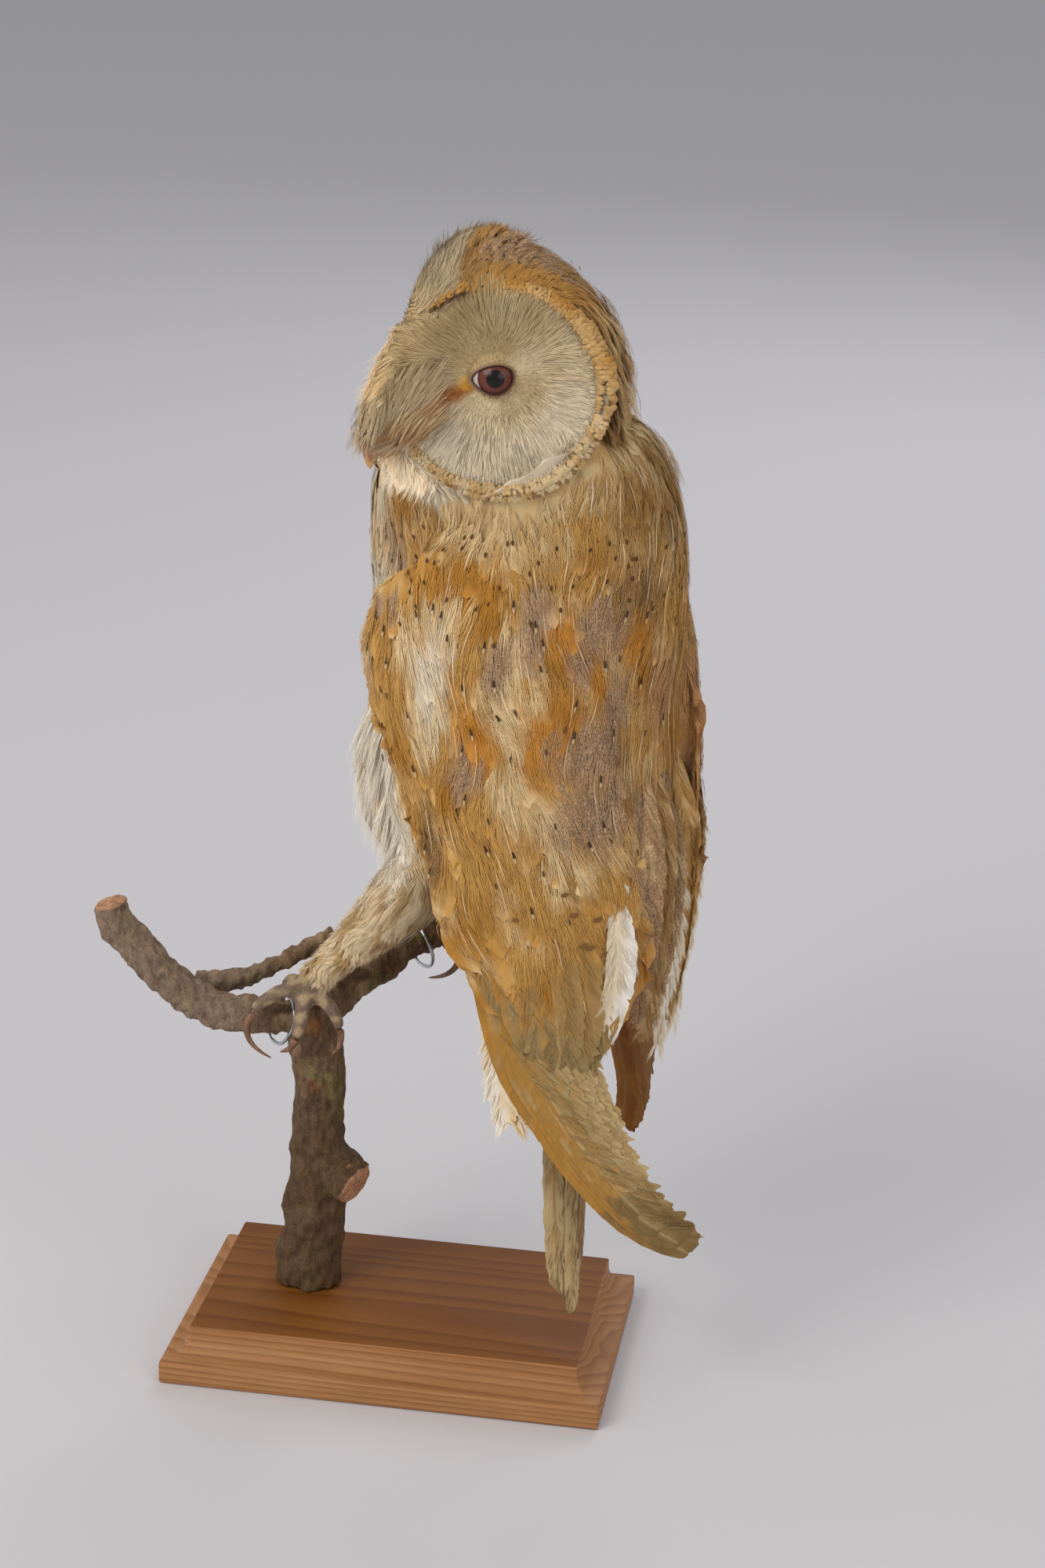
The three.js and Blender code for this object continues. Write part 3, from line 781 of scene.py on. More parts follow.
# Soft patches on the back and the near wing: x, y, z, level radius, upright radius, colour, grey.
BODY_PATCHES = [
    (23, -52, 281, 17, 13, DEEP_GOLD, 0), (29, -53, 273, 8, 10, DEEP_GOLD, 0.1),
    (57, -46, 267, 7, 9, ORANGE, 0), (74, -35, 265, 8, 6, ORANGE, 0), (86, -20, 221, 10, 12, GOLD, 0),
    (21, -53, 258, 8, 18, GOLD, 0), (89, -10, 268, 8, 22, GOLD, 0), (5, -48, 261, 8, 14, CREAM, 0),
    (18, -52, 270, 6, 8, CREAM, 0), (14, -50, 238, 8, 12, CREAM, 0), (42, -52, 265, 7, 10, CREAM, 0),
    (42, -53, 243, 11, 14, CREAM, 0), (41, -54, 218, 10, 14, CREAM, 0), (55, -49, 208, 7, 9, CREAM, 0),
    (61, -45, 189, 8, 10, CREAM, 0), (67, -42, 175, 9, 10, GOLD, 0),
    (15, -51, 252, 6, 15, mix(CREAM, WHITE, 0.7), 0), (-2, -42, 240, 8, 14, GOLD, 0),
    (53, -50, 235, 8, 14, ORANGE, 0), (29, -54, 234, 7, 12, ORANGE, 0), (30, -50, 190, 12, 18, GOLD, 0),
    (76, -35, 279, 12, 10, DUSKY, 0.7), (66, -41, 268, 8, 8, GREY, 0.9), (62, -43, 257, 7, 7, GREY, 0.9),
    (70, -36, 244, 6, 10, GREY, 0.9), (64, -44, 229, 13, 9, GREY, 1), (68, -42, 210, 14, 11, GREY, 1),
    (84, -23, 207, 9, 13, GREY, 0.9), (83, -22, 244, 7, 12, mix(GREY, ORANGE, 0.4), 0.5),
    (91, -1, 243, 7, 16, mix(GREY, ORANGE, 0.45), 0.5), (83, -29, 187, 7, 16, GREY, 0.8),
    (93, -6, 210, 7, 16, mix(GREY, ORANGE, 0.5), 0.4), (34, -54, 259, 5, 8, GREY, 0.9),
    (25, -52, 222, 5, 8, GREY, 0.8), (47, -50, 278, 5, 6, GREY, 0.6), (47, -51, 267, 4, 8, GREY, 0.5),
    (-6, -27, 287, 10, 12, GREY, 0.6), (-2, -42, 273, 6, 6, GREY, 0.5),
    (15, -43, 196, 4, 12, DUSKY, 0.8), (66, -40, 253, 4, 6, ORANGE, 0), (85, 10, 280, 12, 14, GREY, 0.7),
    (70, 40, 250, 16, 22, GREY, 0.6), (62, 45, 205, 12, 30, GREY, 0.7), (88, 22, 215, 9, 22, ORANGE, 0),
    (48, 50, 235, 9, 30, ORANGE, 0), (90, 0, 182, 10, 26, mix(GOLD, CREAM, 0.5), 0),
    (86, 10, 155, 12, 20, mix(GOLD, CREAM, 0.7), 0),
]
NECK_PATCHES = [
    (24, -47, 311, 26, 9, CREAM, 0), (7, -39, 309, 10, 4.5, WHITE, 0), (-10, -22, 308, 7, 14, WHITE, 0),
    (-3, -31, 300, 8, 9, mix(GOLD, DEEP_GOLD, 0.7), 0), (53, -47, 309, 12, 6, CREAM, 0),
    (46, -48, 291, 13, 5, CREAM, 0), (61, -45, 299, 9, 9, GOLD, 0),
    (75, -34, 306, 9, 10, mix(DUSKY, GOLD, 0.5), 0.2),
    (83, -15, 308, 10, 14, mix(BROWN, GOLD, 0.5), 0.2), (30, -50, 297, 16, 5, CREAM, 0),
]

# Dark drop marks with a white tip, each at the end of a feather.
DROPS = [
    (46, -51, 278), (48, -50, 272), (48, -51, 264), (39, -51, 284), (59, -45, 252), (67, -40, 263),
    (78, -31, 256), (70, -37, 241), (59, -46, 242), (67, -42, 227), (68, -42, 212), (64, -45, 206),
    (84, -23, 205), (82, -30, 184), (84, -21, 242), (91, -2, 243), (79, -32, 278), (73, -37, 279),
    (35, -54, 248), (34, -54, 259), (25, -53, 237), (27, -54, 243), (26, -52, 221), (8, -45, 227),
    (6, -47, 245), (-2, -43, 271), (-1, -44, 261), (-3, -41, 251), (8, -49, 278), (14, -50, 281),
    (17, -51, 279), (41, -51, 203), (32, -50, 204), (24, -54, 257), (31, -53, 271), (19, -52, 272),
    (47, -49, 184), (15, -43, 193), (13, -43, 201), (92, 4, 262), (93, 6, 222), (94, 2, 196),
    (86, 26, 262), (76, 38, 245), (66, 46, 228), (58, 50, 262), (62, 46, 200), (80, 30, 205),
    (70, 38, 182),
]


# Brown ends of bars that show on the near wing.
BARS = [
    (57, -46, 189), (60, -45, 182), (67, -42, 180), (63, -43, 171), (65, -42, 170.4), (69, -39, 168),
    (42, -48, 180),
]


def painted(colour, points, patches, edge=0.3, ruffle=0.28):
    """Lays soft-edged patches over the colours, in order."""
    wobble = ruffle * ripple(points, 9, 5) + 0.5 * ruffle * ripple(points, 3.2, 6)
    for x, y, z, level, upright, paint, grey in patches:
        away = points - vec(x, y, z)
        far = np.sqrt((away[:, 0] ** 2 + away[:, 1] ** 2) / level**2 + away[:, 2] ** 2 / upright**2) + wobble
        weight = smooth(1 + edge, 1 - edge, far)[:, None]
        colour = mix(colour, np.append(paint, grey), weight)
    return colour


def blotches(base, other, points, size, seed, low=0.0, high=0.7):
    return mix(base, other, smooth(low, high, ripple(points, size, seed))[:, None])


def rgba(colour, grey=0.0):
    return np.append(colour, grey)


def laid(colours, weight, colour, grey=0.0):
    """The colours of the points with another laid over each by its own weight."""
    return mix(colours, rgba(colour, grey), weight[:, None])


def plain(points, colour, grey=0.0):
    """One colour for every point."""
    return np.tile(rgba(colour, grey), (len(points), 1))


def body_marking(points, outward):
    """Neck, trunk and wings."""
    side = outward @ FRONT
    back = blotches(plain(points, GOLD), rgba(DEEP_GOLD), points, 16, 21, 0.0, 1.2)
    back = blotches(back, rgba(mix(GOLD, CREAM, 0.6)), points, 13, 22, 0.3, 1.1)
    away = smooth(78, 92, points[:, 0]) + smooth(-10, 20, points[:, 1])
    patchy = 0.7 * np.clip(away, 0, 1) * smooth(0.2, 0.9, ripple(points, 17, 23))
    back = laid(back, patchy, GREY, 0.6)
    back = painted(back, points, BODY_PATCHES)
    under = blotches(plain(points, WHITE), rgba(CREAM), points, 22, 24, 0.1, 0.9)
    under = mix(under, rgba(CREAM), smooth(262, 285, points[:, 2])[:, None] * 0.6)
    near_front = smooth(2, -8, points[:, 0])
    front = smooth(0.25, 0.7, side) * near_front
    low = smooth(160, 148, points[:, 2]) * smooth(60, 40, points[:, 0]) * smooth(-40, -34, points[:, 1])
    colour = mix(back, under, np.maximum(front, low)[:, None])
    neck = blotches(plain(points, mix(GOLD, CREAM, 0.45)), rgba(CREAM), points, 12, 25, -0.2, 0.7)
    neck = blotches(neck, rgba(mix(GOLD, DUSKY, 0.6)), points, 8, 28, 0.45, 1.1)
    neck = painted(neck, points, NECK_PATCHES)
    neck[:, :3] *= vec(0.86, 0.85, 0.82)
    neck = mix(neck, under, (front * 0.7)[:, None])
    return mix(colour, neck, smooth(288, 297, points[:, 2] + 2 * ripple(points, 9, 26))[:, None])


def trunk_marking(points, outward):
    """The trunk below the shoulders is hidden by the wings except in front, where it is white."""
    colour = body_marking(points, outward)
    inward = np.maximum(
        smooth(0.0, 0.5, outward @ FRONT), smooth(48, 30, points[:, 0]) * smooth(270, 255, points[:, 2])
    )
    white = blotches(plain(points, WHITE), rgba(CREAM), points, 18, 27, 0.2, 0.9)
    return mix(colour, white, (inward * smooth(286, 268, points[:, 2]))[:, None])


def beyond_ridge(local):
    """How surely a point in the head's frame lies between the two dishes or on the far side of the brow."""
    edge = 9.0 - 0.45 * (local[:, 2] - 27)
    above = smooth(0.8, -0.8, local[:, 1] - edge) * smooth(-14, -8, local[:, 0]) * smooth(16, 22, local[:, 2])
    below = smooth(20, 25, local[:, 0]) * smooth(26, 21, local[:, 2]) * smooth(-30, -24, local[:, 2])
    return np.maximum(above, below)


def head_marking(points, outward):
    local = HEAD.into(points)
    colour = plain(points, mix(DUSKY, GOLD, 0.4), 0.3)
    colour = blotches(colour, rgba(GREY, 0.9), points, 12, 31, -0.2, 0.5)
    crown = smooth(14, 22, local[:, 2]) * smooth(0, 6, local[:, 1] - 2)
    colour = laid(colour, crown * smooth(-1.2, 0.1, ripple(points, 9, 34)), mix(GREY, DUSKY, 0.25), 0.9)
    nape = smooth(0, -25, local[:, 0]) * smooth(30, 10, local[:, 2])
    colour = laid(colour, nape * smooth(-0.6, 0.4, ripple(points, 8, 32)), mix(GOLD, DUSKY, 0.5), 0.2)
    near = disc_share("left", points)
    brow = smooth(1.30, 1.17, near + 0.06 * ripple(points, 7, 33)) * smooth(
        4, 14, DISC["left"].into(points)[:, 2]
    )
    colour = laid(colour, 0.9 * brow, mix(GOLD, DEEP_GOLD, 0.45), 0.05)
    edge = local[:, 1] - (9.0 - 0.45 * (local[:, 2] - 27))
    crest = smooth(4.6, 1.8, np.abs(edge - 1.5)) * smooth(22, 30, local[:, 2]) * smooth(-8, 0, local[:, 0])
    colour = laid(colour, 0.85 * crest, mix(GOLD, BROWN, 0.4), 0.25)
    hair = beyond_ridge(local)
    light = np.maximum(smooth(12, -12, local[:, 2]), smooth(22, 34, local[:, 2]))
    buff = mix(rgba(mix(HAIR_BUFF, FACE_PALE, 0.6)), rgba(mix(HAIR_BUFF, FACE_PALE, 0.75)), light[:, None])
    colour = mix(colour, buff, hair[:, None])
    throat = smooth(-16, -24, local[:, 2]) * smooth(-10, 2, local[:, 0])
    return laid(colour, throat, mix(WHITE, CREAM, 0.35))


def disc_marking(points, outward):
    colours = {}
    for name in SIDES:
        local = DISC[name].into(points)
        eye = DISC[name].into(EYE[name][None])[0]
        sign = SIDES[name]
        x, z = sign * (local[:, 1] - eye[1]), local[:, 2] - eye[2]
        angle = np.arctan2(z, x)
        far = np.hypot(x, z)
        upper = smooth(-0.1, 0.9, np.sin(angle - 0.35)) + 0.25 * ripple(points, 16, 41)
        colour = mix(rgba(FACE_PALE), rgba(FACE_BUFF), np.clip(upper, 0, 1)[:, None])
        behind = smooth(0.7, 0.1, np.abs(angle + 0.45)) * smooth(5, 8, far) * smooth(22, 12, far)
        colour = laid(colour, 0.6 * behind, mix(FACE_BUFF, DUSKY, 0.45))
        below = smooth(0.5, 0.1, np.abs(angle + 1.2)) * smooth(5, 8, far) * smooth(19, 12, far)
        colour = laid(colour, 0.5 * below, mix(FACE_BUFF, DUSKY, 0.5))
        lower = smooth(14, 24, far) * smooth(0.1, -0.5, np.sin(angle))
        colour = laid(colour, lower, mix(FACE_PALE, WHITE, 0.5))
        lore = smooth(
            0.33, 0.05, np.abs((angle % (2 * np.pi)) - 3.42)
        ) * smooth(5, 7, far) * smooth(27, 15, far)
        colour = laid(colour, 0.92 * lore, RUST)
        spot = smooth(4.2, 0.5, np.hypot(x + 9.9, (z + 1.0) * 1.2) + 0.5 * ripple(points, 2.4, 42))
        colour = mix(colour, rgba(srgb(222, 164, 66)), 0.92 * spot[:, None])
        colours[name] = colour
    near = smooth(-1, 1, HEAD.into(points)[:, 1])[:, None]
    rear = smooth(-8, 6, DISC["left"].into(points)[:, 1])
    rim = (smooth(0.97, 1.05, disc_share("left", points)) * rear)[:, None]
    return mix(mix(colours["right"], colours["left"], near), rgba(mix(GOLD, CREAM, 0.4)), 0.8 * rim)


def leg_marking(points, outward):
    colour = blotches(
        plain(points, mix(CREAM, WHITE, 0.3)), rgba(mix(CREAM, DUSKY, 0.6)), points, 7, 51, 0.0, 0.8
    )
    return laid(colour, smooth(168, 190, points[:, 2]) * 0.8, WHITE)


def toe_marking(points, outward):
    return blotches(plain(points, TOE_GREY), rgba(mix(TOE_GREY, CREAM, 0.4)), points, 5, 52)


MARKINGS = {
    "head": head_marking,
    "disc": disc_marking,
    "body": trunk_marking,
    "wing": body_marking,
    "leg": leg_marking,
    "toe": toe_marking,
}


# A fold of the neck's skin that shows in the near dish: its reach in the disc's own measures.
FOLD_SHARE, FOLD_DEPTH, FOLD_TURN = 0.92, 10, (-115, -20)


def skin_colours(skin):
    colour = np.empty((len(skin.points), 4))
    for k, name in enumerate(ZONES):
        chosen = skin.point_zone == k
        colour[chosen] = MARKINGS[name](skin.points[chosen], skin.normals[chosen])
    turn = disc_turn("left", skin.points)
    depth = np.abs(DISC["left"].into(skin.points)[:, 0])
    fold = (disc_share("left", skin.points) < FOLD_SHARE) & (depth < FOLD_DEPTH)
    fold &= (turn < FOLD_TURN[1]) & (turn > FOLD_TURN[0]) & (HEAD.into(skin.points)[:, 1] > 0)
    colour[fold] = disc_marking(skin.points[fold], skin.normals[fold])
    return colour


# ------------------------------------------------------------------ lie of the coat


def lie(direction, outward):
    """A direction laid down on the skin."""
    return unit(direction - outward * (direction * outward).sum(axis=1, keepdims=True))


def body_flow(points, outward):
    lean = smooth(300, 230, points[:, 2]) * 0.22
    direction = np.stack([lean, -0.03 * np.ones_like(lean), -np.ones_like(lean)], 1)
    sideways = np.cross(outward, direction)
    swirl = 0.30 * ripple(points, 34, 61) + 0.16 * ripple(points, 15, 66)
    return lie(direction + sideways * swirl[:, None], outward)


def head_flow(points, outward):
    local = HEAD.into(points)
    from_bill = unit(local - vec(56, 0, -12))
    down = smooth(10, -25, local[:, 0])[:, None]
    direction = HEAD.direct(from_bill) * (1 - 0.75 * down) - UP * (1.1 * down)
    far_side = (smooth(1, -3, local[:, 1]) * smooth(-20, -5, local[:, 0]))[:, None]
    from_eye = unit(points - EYE["right"] + HEAD.direct(vec(0, 0, 6)))
    direction = mix(direction, from_eye + UP * 0.3, 0.75 * far_side)
    sideways = np.cross(outward, direction)
    return lie(direction + sideways * (0.2 * ripple(points, 12, 62))[:, None], outward)


def disc_flow(points, outward):
    near = HEAD.into(points)[:, 1] > 0
    eye = np.where(near[:, None], EYE["left"], EYE["right"])
    direction = unit(points - eye)
    sideways = np.cross(outward, direction)
    return lie(direction + sideways * (0.15 * ripple(points, 9, 63))[:, None] - UP * 0.12, outward)


def leg_flow(points, outward):
    left = points[:, 1] < 12
    direction = np.where(left[:, None], vec(-0.57, 0.05, -0.8), vec(-0.4, 0.3, -0.85))
    sideways = np.cross(outward, direction)
    return lie(direction + sideways * (0.3 * ripple(points, 10, 64))[:, None], outward)


# ------------------------------------------------------------------ coat of the body


# Millimetres between roots.
COVERT_SPACING = 4.0
BARB_SPACING = 2.95
HEAD_SPACING = 1.7
NAPE_SPACING = 1.9
DISC_HAIR_SPACING = 0.74
RIDGE_HAIR_SPACING = 0.66
LEG_SPACING = 1.35


def spread(count, low, high):
    return rng.uniform(low, high, count)


def split_near_far(place):
    """True on the side of the near wing."""
    return place @ heading(-75) > 8


def clear_of_ruff(place, share):
    near = (disc_share("left", place) > share) | (DISC["left"].into(place)[:, 0] < -8)
    return near & ((disc_share("right", place) > 1.06) | (DISC["right"].into(place)[:, 0] < -8))


def add_body_coverts(skin, coat, keep):
    """Overlapping soft feathers of the neck, back and wings."""
    place, outward, roots = skin.scatter(["body", "wing"], COVERT_SPACING, keep)
    order = rng.permutation(len(place))
    place, outward, roots = place[order], outward[order], roots[order]
    count = len(place)
    neck = smooth(285, 300, place[:, 2])
    low = smooth(215, 175, place[:, 2])
    length = spread(count, 14, 19) - 4 * neck + 5 * low
    width = spread(count, 8.0, 10.5) - 2.5 * neck + 2 * low
    depth = spread(count, 1.3, 2.5)
    course = courses(skin, place, outward, body_flow, length, depth, 4, (0.35, 1.0))
    shade = rng.normal(1, 0.045, (count, 1))
    tone = rng.normal(0, 1, (count, 1))
    pale_shaft = rng.random(count) < 0.3
    lines, normals = course[0], course[1]

    def paint(along, out):
        share = np.full(count, along)
        side = np.cross(at_share(normals, share), at_share(course[2], share))
        point = at_share(lines, share) + side * (width / 2 * out * 0.6)[:, None]
        colour = trunk_or_wing(point, unit(at_share(normals, share)))
        colour[:, :3] *= shade * (0.93 + 0.07 * along) * np.exp(0.05 * tone * vec(-0.2, 0.0, 0.5))
        if abs(out) < 0.1:
            colour[:, :3] = np.where(pale_shaft[:, None], mix(colour[:, :3], CREAM, 0.4), colour[:, :3])
        return colour

    straight = (normals[:, 0] * normals[:, -1]).sum(axis=1)
    width = width * smooth(0.6, 0.97, straight)
    add_vanes(coat, course, roots, paint, width, rows=7, columns=7, camber=0.04, ragged=0.14)


def trunk_or_wing(points, normals):
    near_wing = body_marking(points, normals)
    trunk = trunk_marking(points, normals)
    in_front = smooth(14, -2, points[:, 0] - 0.35 * np.maximum(points[:, 1] + 30, 0))
    hidden = in_front * smooth(-34, -26, points[:, 1])
    return mix(near_wing, trunk, hidden[:, None])


def add_body_locks(skin, coat, keep):
    """Fine loose barbs that lie on the coverts and blur their edges, and a few bare pale shafts."""
    place, outward, roots = skin.scatter(["body", "wing"], BARB_SPACING, keep)
    count = len(place)
    length = spread(count, 13, 22) - 4 * smooth(285, 300, place[:, 2])
    clear = smooth(1.3, 1.6, disc_share("left", place))
    depth = (
        spread(count, 2.15, 2.95) + 3.2 * smooth(312, 326, place[:, 2]) * smooth(42, 58, place[:, 0]) * clear
    )
    depth *= mix(0.4, 1, smooth(1.0, 1.4, disc_share("left", place)))
    course = courses(skin, place, outward, body_flow, length, depth, 3, (0.72, 1.0))
    colour = trunk_or_wing(course[0][:, 2], course[1][:, 2])
    ends = trunk_or_wing(course[0][:, -1], course[1][:, -1])
    tone = rng.normal(1, 0.05, (count, 1))
    colour[:, :3] *= tone
    ends[:, :3] *= tone
    size = spread(count, 5, 9)
    add_locks(coat, course, roots, colour, size, 0.28, 9, lift=0.15, tips=ends)
    bare = rng.permutation(count)[: count // 14]
    some = tuple(
        part[bare] + (0.5 * outward[bare][:, None] if k == 0 else 0) for k, part in enumerate(course)
    )
    pale = mix(colour[bare], rgba(mix(CREAM, WHITE, 0.4)), 0.55)
    add_locks(coat, some, roots[bare], pale, size[bare] * 0.2, 0.42, 1, ragged=0.1)


def off_the_dish(line):
    """Which locks keep clear of the near dish's rear and lower part."""
    flat = line.reshape(-1, 3)
    over = (disc_share("left", flat) < 0.95) & (disc_turn("left", flat) < 20) & (
        DISC["left"].into(flat)[:, 0] > -3
    )
    return ~(over & (HEAD.into(flat)[:, 1] > 0)).reshape(line.shape[:2]).any(axis=1)


def add_head_coat(skin, coat):
    def keep(place):
        near = np.minimum(disc_share("left", place), disc_share("right", place))
        return (beyond_ridge(HEAD.into(place)) < 0.5) & (near > 0.9)

    place, outward, roots = skin.scatter(["head"], HEAD_SPACING, keep)
    count = len(place)
    local = HEAD.into(place)
    crest = smooth(30, 40, local[:, 2]) * smooth(-12, 0, local[:, 0])
    nape = smooth(-2, -13, local[:, 0]) * smooth(28, 12, local[:, 2])
    length = 5.5 + 2 * smooth(5, -25, local[:, 0]) + 9 * nape
    depth = spread(count, 1.3, 2.1) + 3.5 * crest * rng.random(count) + 2.5 * nape * spread(count, 0.4, 1)
    course = courses(skin, place, outward, head_flow, length, depth, 3, (0.15, 1.0))
    clear = off_the_dish(course[0])
    course = tuple(part[clear] for part in course)
    nape, roots, count = nape[clear], roots[clear], int(clear.sum())
    colour = head_marking(course[0][:, 2], course[1][:, -1])
    colour[:, :3] *= rng.normal(1, 0.06, (count, 1))
    add_locks(coat, course, roots, colour, spread(count, 2.6, 4.2) + 1.5 * nape, 0.26, 9, lift=0.18)


def add_nape(skin, coat):
    """Loose feathers that hang from the back of the head over the neck."""

    def keep(place):
        local = HEAD.into(place)
        clear = (disc_share("left", place) > 1.0) | (DISC["left"].into(place)[:, 0] < -3)
        return clear & (local[:, 0] < -3) & (local[:, 2] < 20) & (local[:, 2] > -14) & (local[:, 1] > -25)

    place, outward, roots = skin.scatter(["head", "disc"], NAPE_SPACING, keep)
    count = len(place)
    outward = unit(outward * vec(1, 1, 0.2) + vec(0.25, 0.0, 0.0))
    length = spread(count, 13, 21)
    puff = spread(count, 4.5, 9.5)
    steps = np.linspace(0, 1, 6)
    swing = np.outer(puff, np.sin(np.pi * (0.06 + 0.62 * steps)))
    drop = np.outer(length, steps**1.15)
    sway = rng.normal(0, 0.10, (count, 3))
    line = (
        place[:, None] + outward[:, None] * swing[:, :, None] + (unit(sway - UP))[:, None] * drop[:, :, None]
    )
    clear = off_the_dish(line)
    line, place, outward, roots, count = (
        line[clear], place[clear], outward[clear], roots[clear], int(clear.sum())
    )
    aheads = unit(np.gradient(line, axis=1))
    normals = np.broadcast_to(outward[:, None], line.shape)
    normals = unit(normals - aheads * (normals * aheads).sum(axis=2, keepdims=True))
    colour = blotches(
        plain(place, mix(GOLD, DUSKY, 0.35), 0.1), rgba(mix(CREAM, GOLD, 0.4)), place, 6, 35, -0.3, 0.5
    )
    tips = mix(colour, rgba(mix(CREAM, DUSKY, 0.3)), 0.5)
    tone = rng.normal(0.97, 0.07, (count, 1))
    colour[:, :3] *= tone
    tips[:, :3] *= tone
    add_locks(
        coat, (line, normals, aheads), roots, colour, spread(count, 3.5, 6.0), 0.34, 9, lift=0.2, tips=tips
    )


# The far rim: number of tufts, colour, length, distance down the brow.
FAR_RIM = ((46, mix(GOLD, DEEP_GOLD, 0.5), 3.4, 0.0), (30, srgb(84, 62, 42), 2.6, 1.2))


def add_far_rim(skin, coat):
    """The start of the far dish's ruff, seen over the brow as a short dark-lined V."""
    for count, paint, size, away in FAR_RIM:
        t = rng.random((count, 1))
        down = vec(0.6, 0, -1) * away
        start = mix(vec(9, -42, 369), vec(19, -40.5, 376), t) + down + rng.normal(0, 0.5, (count, 3))
        place, outward = skin.snap(start)
        ahead = lie(np.tile(unit(vec(0.55, 0, 0.75)), (count, 1)) + rng.normal(0, 0.15, (count, 3)), outward)
        steps = np.linspace(0, 1, 4)
        line = place[:, None] + outward[:, None] * (2.6 + 0.5 * steps)[None, :, None]
        line = line + ahead[:, None] * (steps * size)[None, :, None]
        normals, aheads = (np.repeat(part[:, None], 4, axis=1) for part in (outward, ahead))
        colour = plain(place, paint)
        colour[:, :3] *= rng.normal(1, 0.12, (count, 1))
        add_locks(
            coat, (line, normals, aheads), skin.uv_near(place), colour, np.full(count, 1.3), 0.3, 3, lift=0.1
        )


RUFF_FROM, RUFF_TO = -150, 84  # degrees round the disc from its rear edge, upwards


def disc_turn(name, place):
    """The angle round a disc, in degrees from its rear edge, upwards."""
    local = DISC[name].into(place)
    return np.degrees(np.arctan2(local[:, 2] / DISC_HALF_HEIGHT, SIDES[name] * local[:, 1] / DISC_HALF_WIDTH))


def hair_edge(turn):
    """Where the face's hair gives way to the ruff, as a share of the disc."""
    return 0.835 + 0.13 * smooth(25, 80, turn) + 0.035 * smooth(-35, -90, turn)


def under_ruff(name, place):
    turn = disc_turn(name, place)
    return (disc_share(name, place) > hair_edge(turn)) & (turn > RUFF_FROM) & (turn < RUFF_TO)


def nearest_eye(place):
    return np.minimum(*[np.linalg.norm((place - EYE[n]), axis=1) for n in SIDES])


def add_disc_hair(skin, coat):
    """Fine hair-like feathers that spread from each eye."""

    def keep(place):
        left = HEAD.into(place)[:, 1] > 0
        bare = np.where(left, under_ruff("left", place), under_ruff("right", place))
        in_dish = [
            (disc_share(name, place) < 1.14) & (np.abs(DISC[name].into(place)[:, 0]) < 14) for name in SIDES
        ]
        return ~bare & (in_dish[0] | in_dish[1]) & (nearest_eye(place) > EYE_RADIUS + 0.4)

    place, outward, roots = skin.scatter(["disc", "body"], DISC_HAIR_SPACING, keep)
    skin.scatter(["head"], DISC_HAIR_SPACING)  # grows nothing: it keeps the order of the random draws
    count = len(place)
    away = nearest_eye(place) - EYE_RADIUS
    length = 4.2 + 4.4 * smooth(2, 14, away)
    for name in SIDES:
        turn = disc_turn(name, place)
        rimmed = (turn > RUFF_FROM) & (turn < RUFF_TO) & ((HEAD.into(place)[:, 1] > 0) == (name == "left"))
        room = 1.4 + (hair_edge(turn) - disc_share(name, place)) * DISC_HALF_HEIGHT
        length = np.where(rimmed, np.minimum(length, room), length)
    depth = spread(count, 0.7, 2.2) * (0.4 + 0.6 * smooth(1, 8, away))
    course = courses(skin, place, outward, disc_flow, length, depth, 3, (0.1, 1.0))
    colour = disc_marking(course[0][:, 2], course[1][:, -1])
    # painted light: hair towards the front of the face is brightened up to 1.3 times, to make up for the
    # shade between its locks
    front = smooth(-12, -26, DISC["left"].into(place)[:, 1])
    tone = rng.normal(1, 0.07, count) * (1 + 0.3 * front)
    colour[:, :3] *= np.where(rng.random(count) < 0.06, 0.62 * tone, tone)[:, None]
    add_locks(coat, course, roots, colour, spread(count, 0.8, 1.8), 0.22, 2, lift=0.15)


def ridge_flow(points, outward):
    """Between the eyes the hair runs away from both, forwards and down over the bill."""
    local = HEAD.into(points)
    high = smooth(12, 24, local[:, 2])[:, None]
    from_near = unit(points - EYE["left"]) - UP * 0.25
    from_far = unit(points - EYE["right"]) + UP * 0.35
    down = HEAD.direct(vec(0.5, 0.0, -1.0))
    direction = mix(mix(from_near, down, 0.35), from_far, high)
    sideways = np.cross(outward, direction)
    return lie(direction + sideways * (0.22 * ripple(points, 7, 65))[:, None], outward)


def add_ridge_hair(skin, coat):
    """The loose hair of the brow's far side and between the dishes, which hides most of the bill."""
    place, outward, roots = skin.scatter(
        ["head"], RIDGE_HAIR_SPACING, lambda p: beyond_ridge(HEAD.into(p)) > 0.5
    )
    count = len(place)
    local = HEAD.into(place)
    front = smooth(30, 46, local[:, 0])
    length = spread(count, 6, 9) + 4 * front
    depth = spread(count, 1.0, 2.2) + 3.0 * front * rng.random(count)
    course = courses(skin, place, outward, ridge_flow, length, depth, 3, (0.12, 1.0))
    line = course[0]
    loose = np.linspace(0, 1, line.shape[1])[None, :, None] ** 2
    stray = np.where(rng.random(count) < 0.16, spread(count, 1.0, 5.0), 0)
    line += loose * outward[:, None] * (spread(count, 0, 1.6) * front + stray)[:, None, None]
    colour = head_marking(line[:, 1], course[1][:, -1])
    near = HEAD.into(line[:, 1])
    blend = (smooth(-2, 4, near[:, 1]) * smooth(24, 14, near[:, 2]))[:, None]
    colour = mix(colour, disc_marking(line[:, 1], course[1][:, -1]), blend)
    # painted light: the hair low on the face is brightened up to 1.46 times, and 0.1 more at its front, to
    # make up for the shade between its locks; higher up it is dimmed to 0.84
    painted_light = mix(1.46, 0.84, smooth(14, 26, local[:, 2])) + 0.1 * smooth(18, 30, local[:, 0])
    colour[:, :3] *= rng.normal(1, 0.06, (count, 1)) * painted_light[:, None]
    add_locks(coat, course, roots, colour, spread(count, 0.9, 2.0), 0.17, 3, lift=0.24)


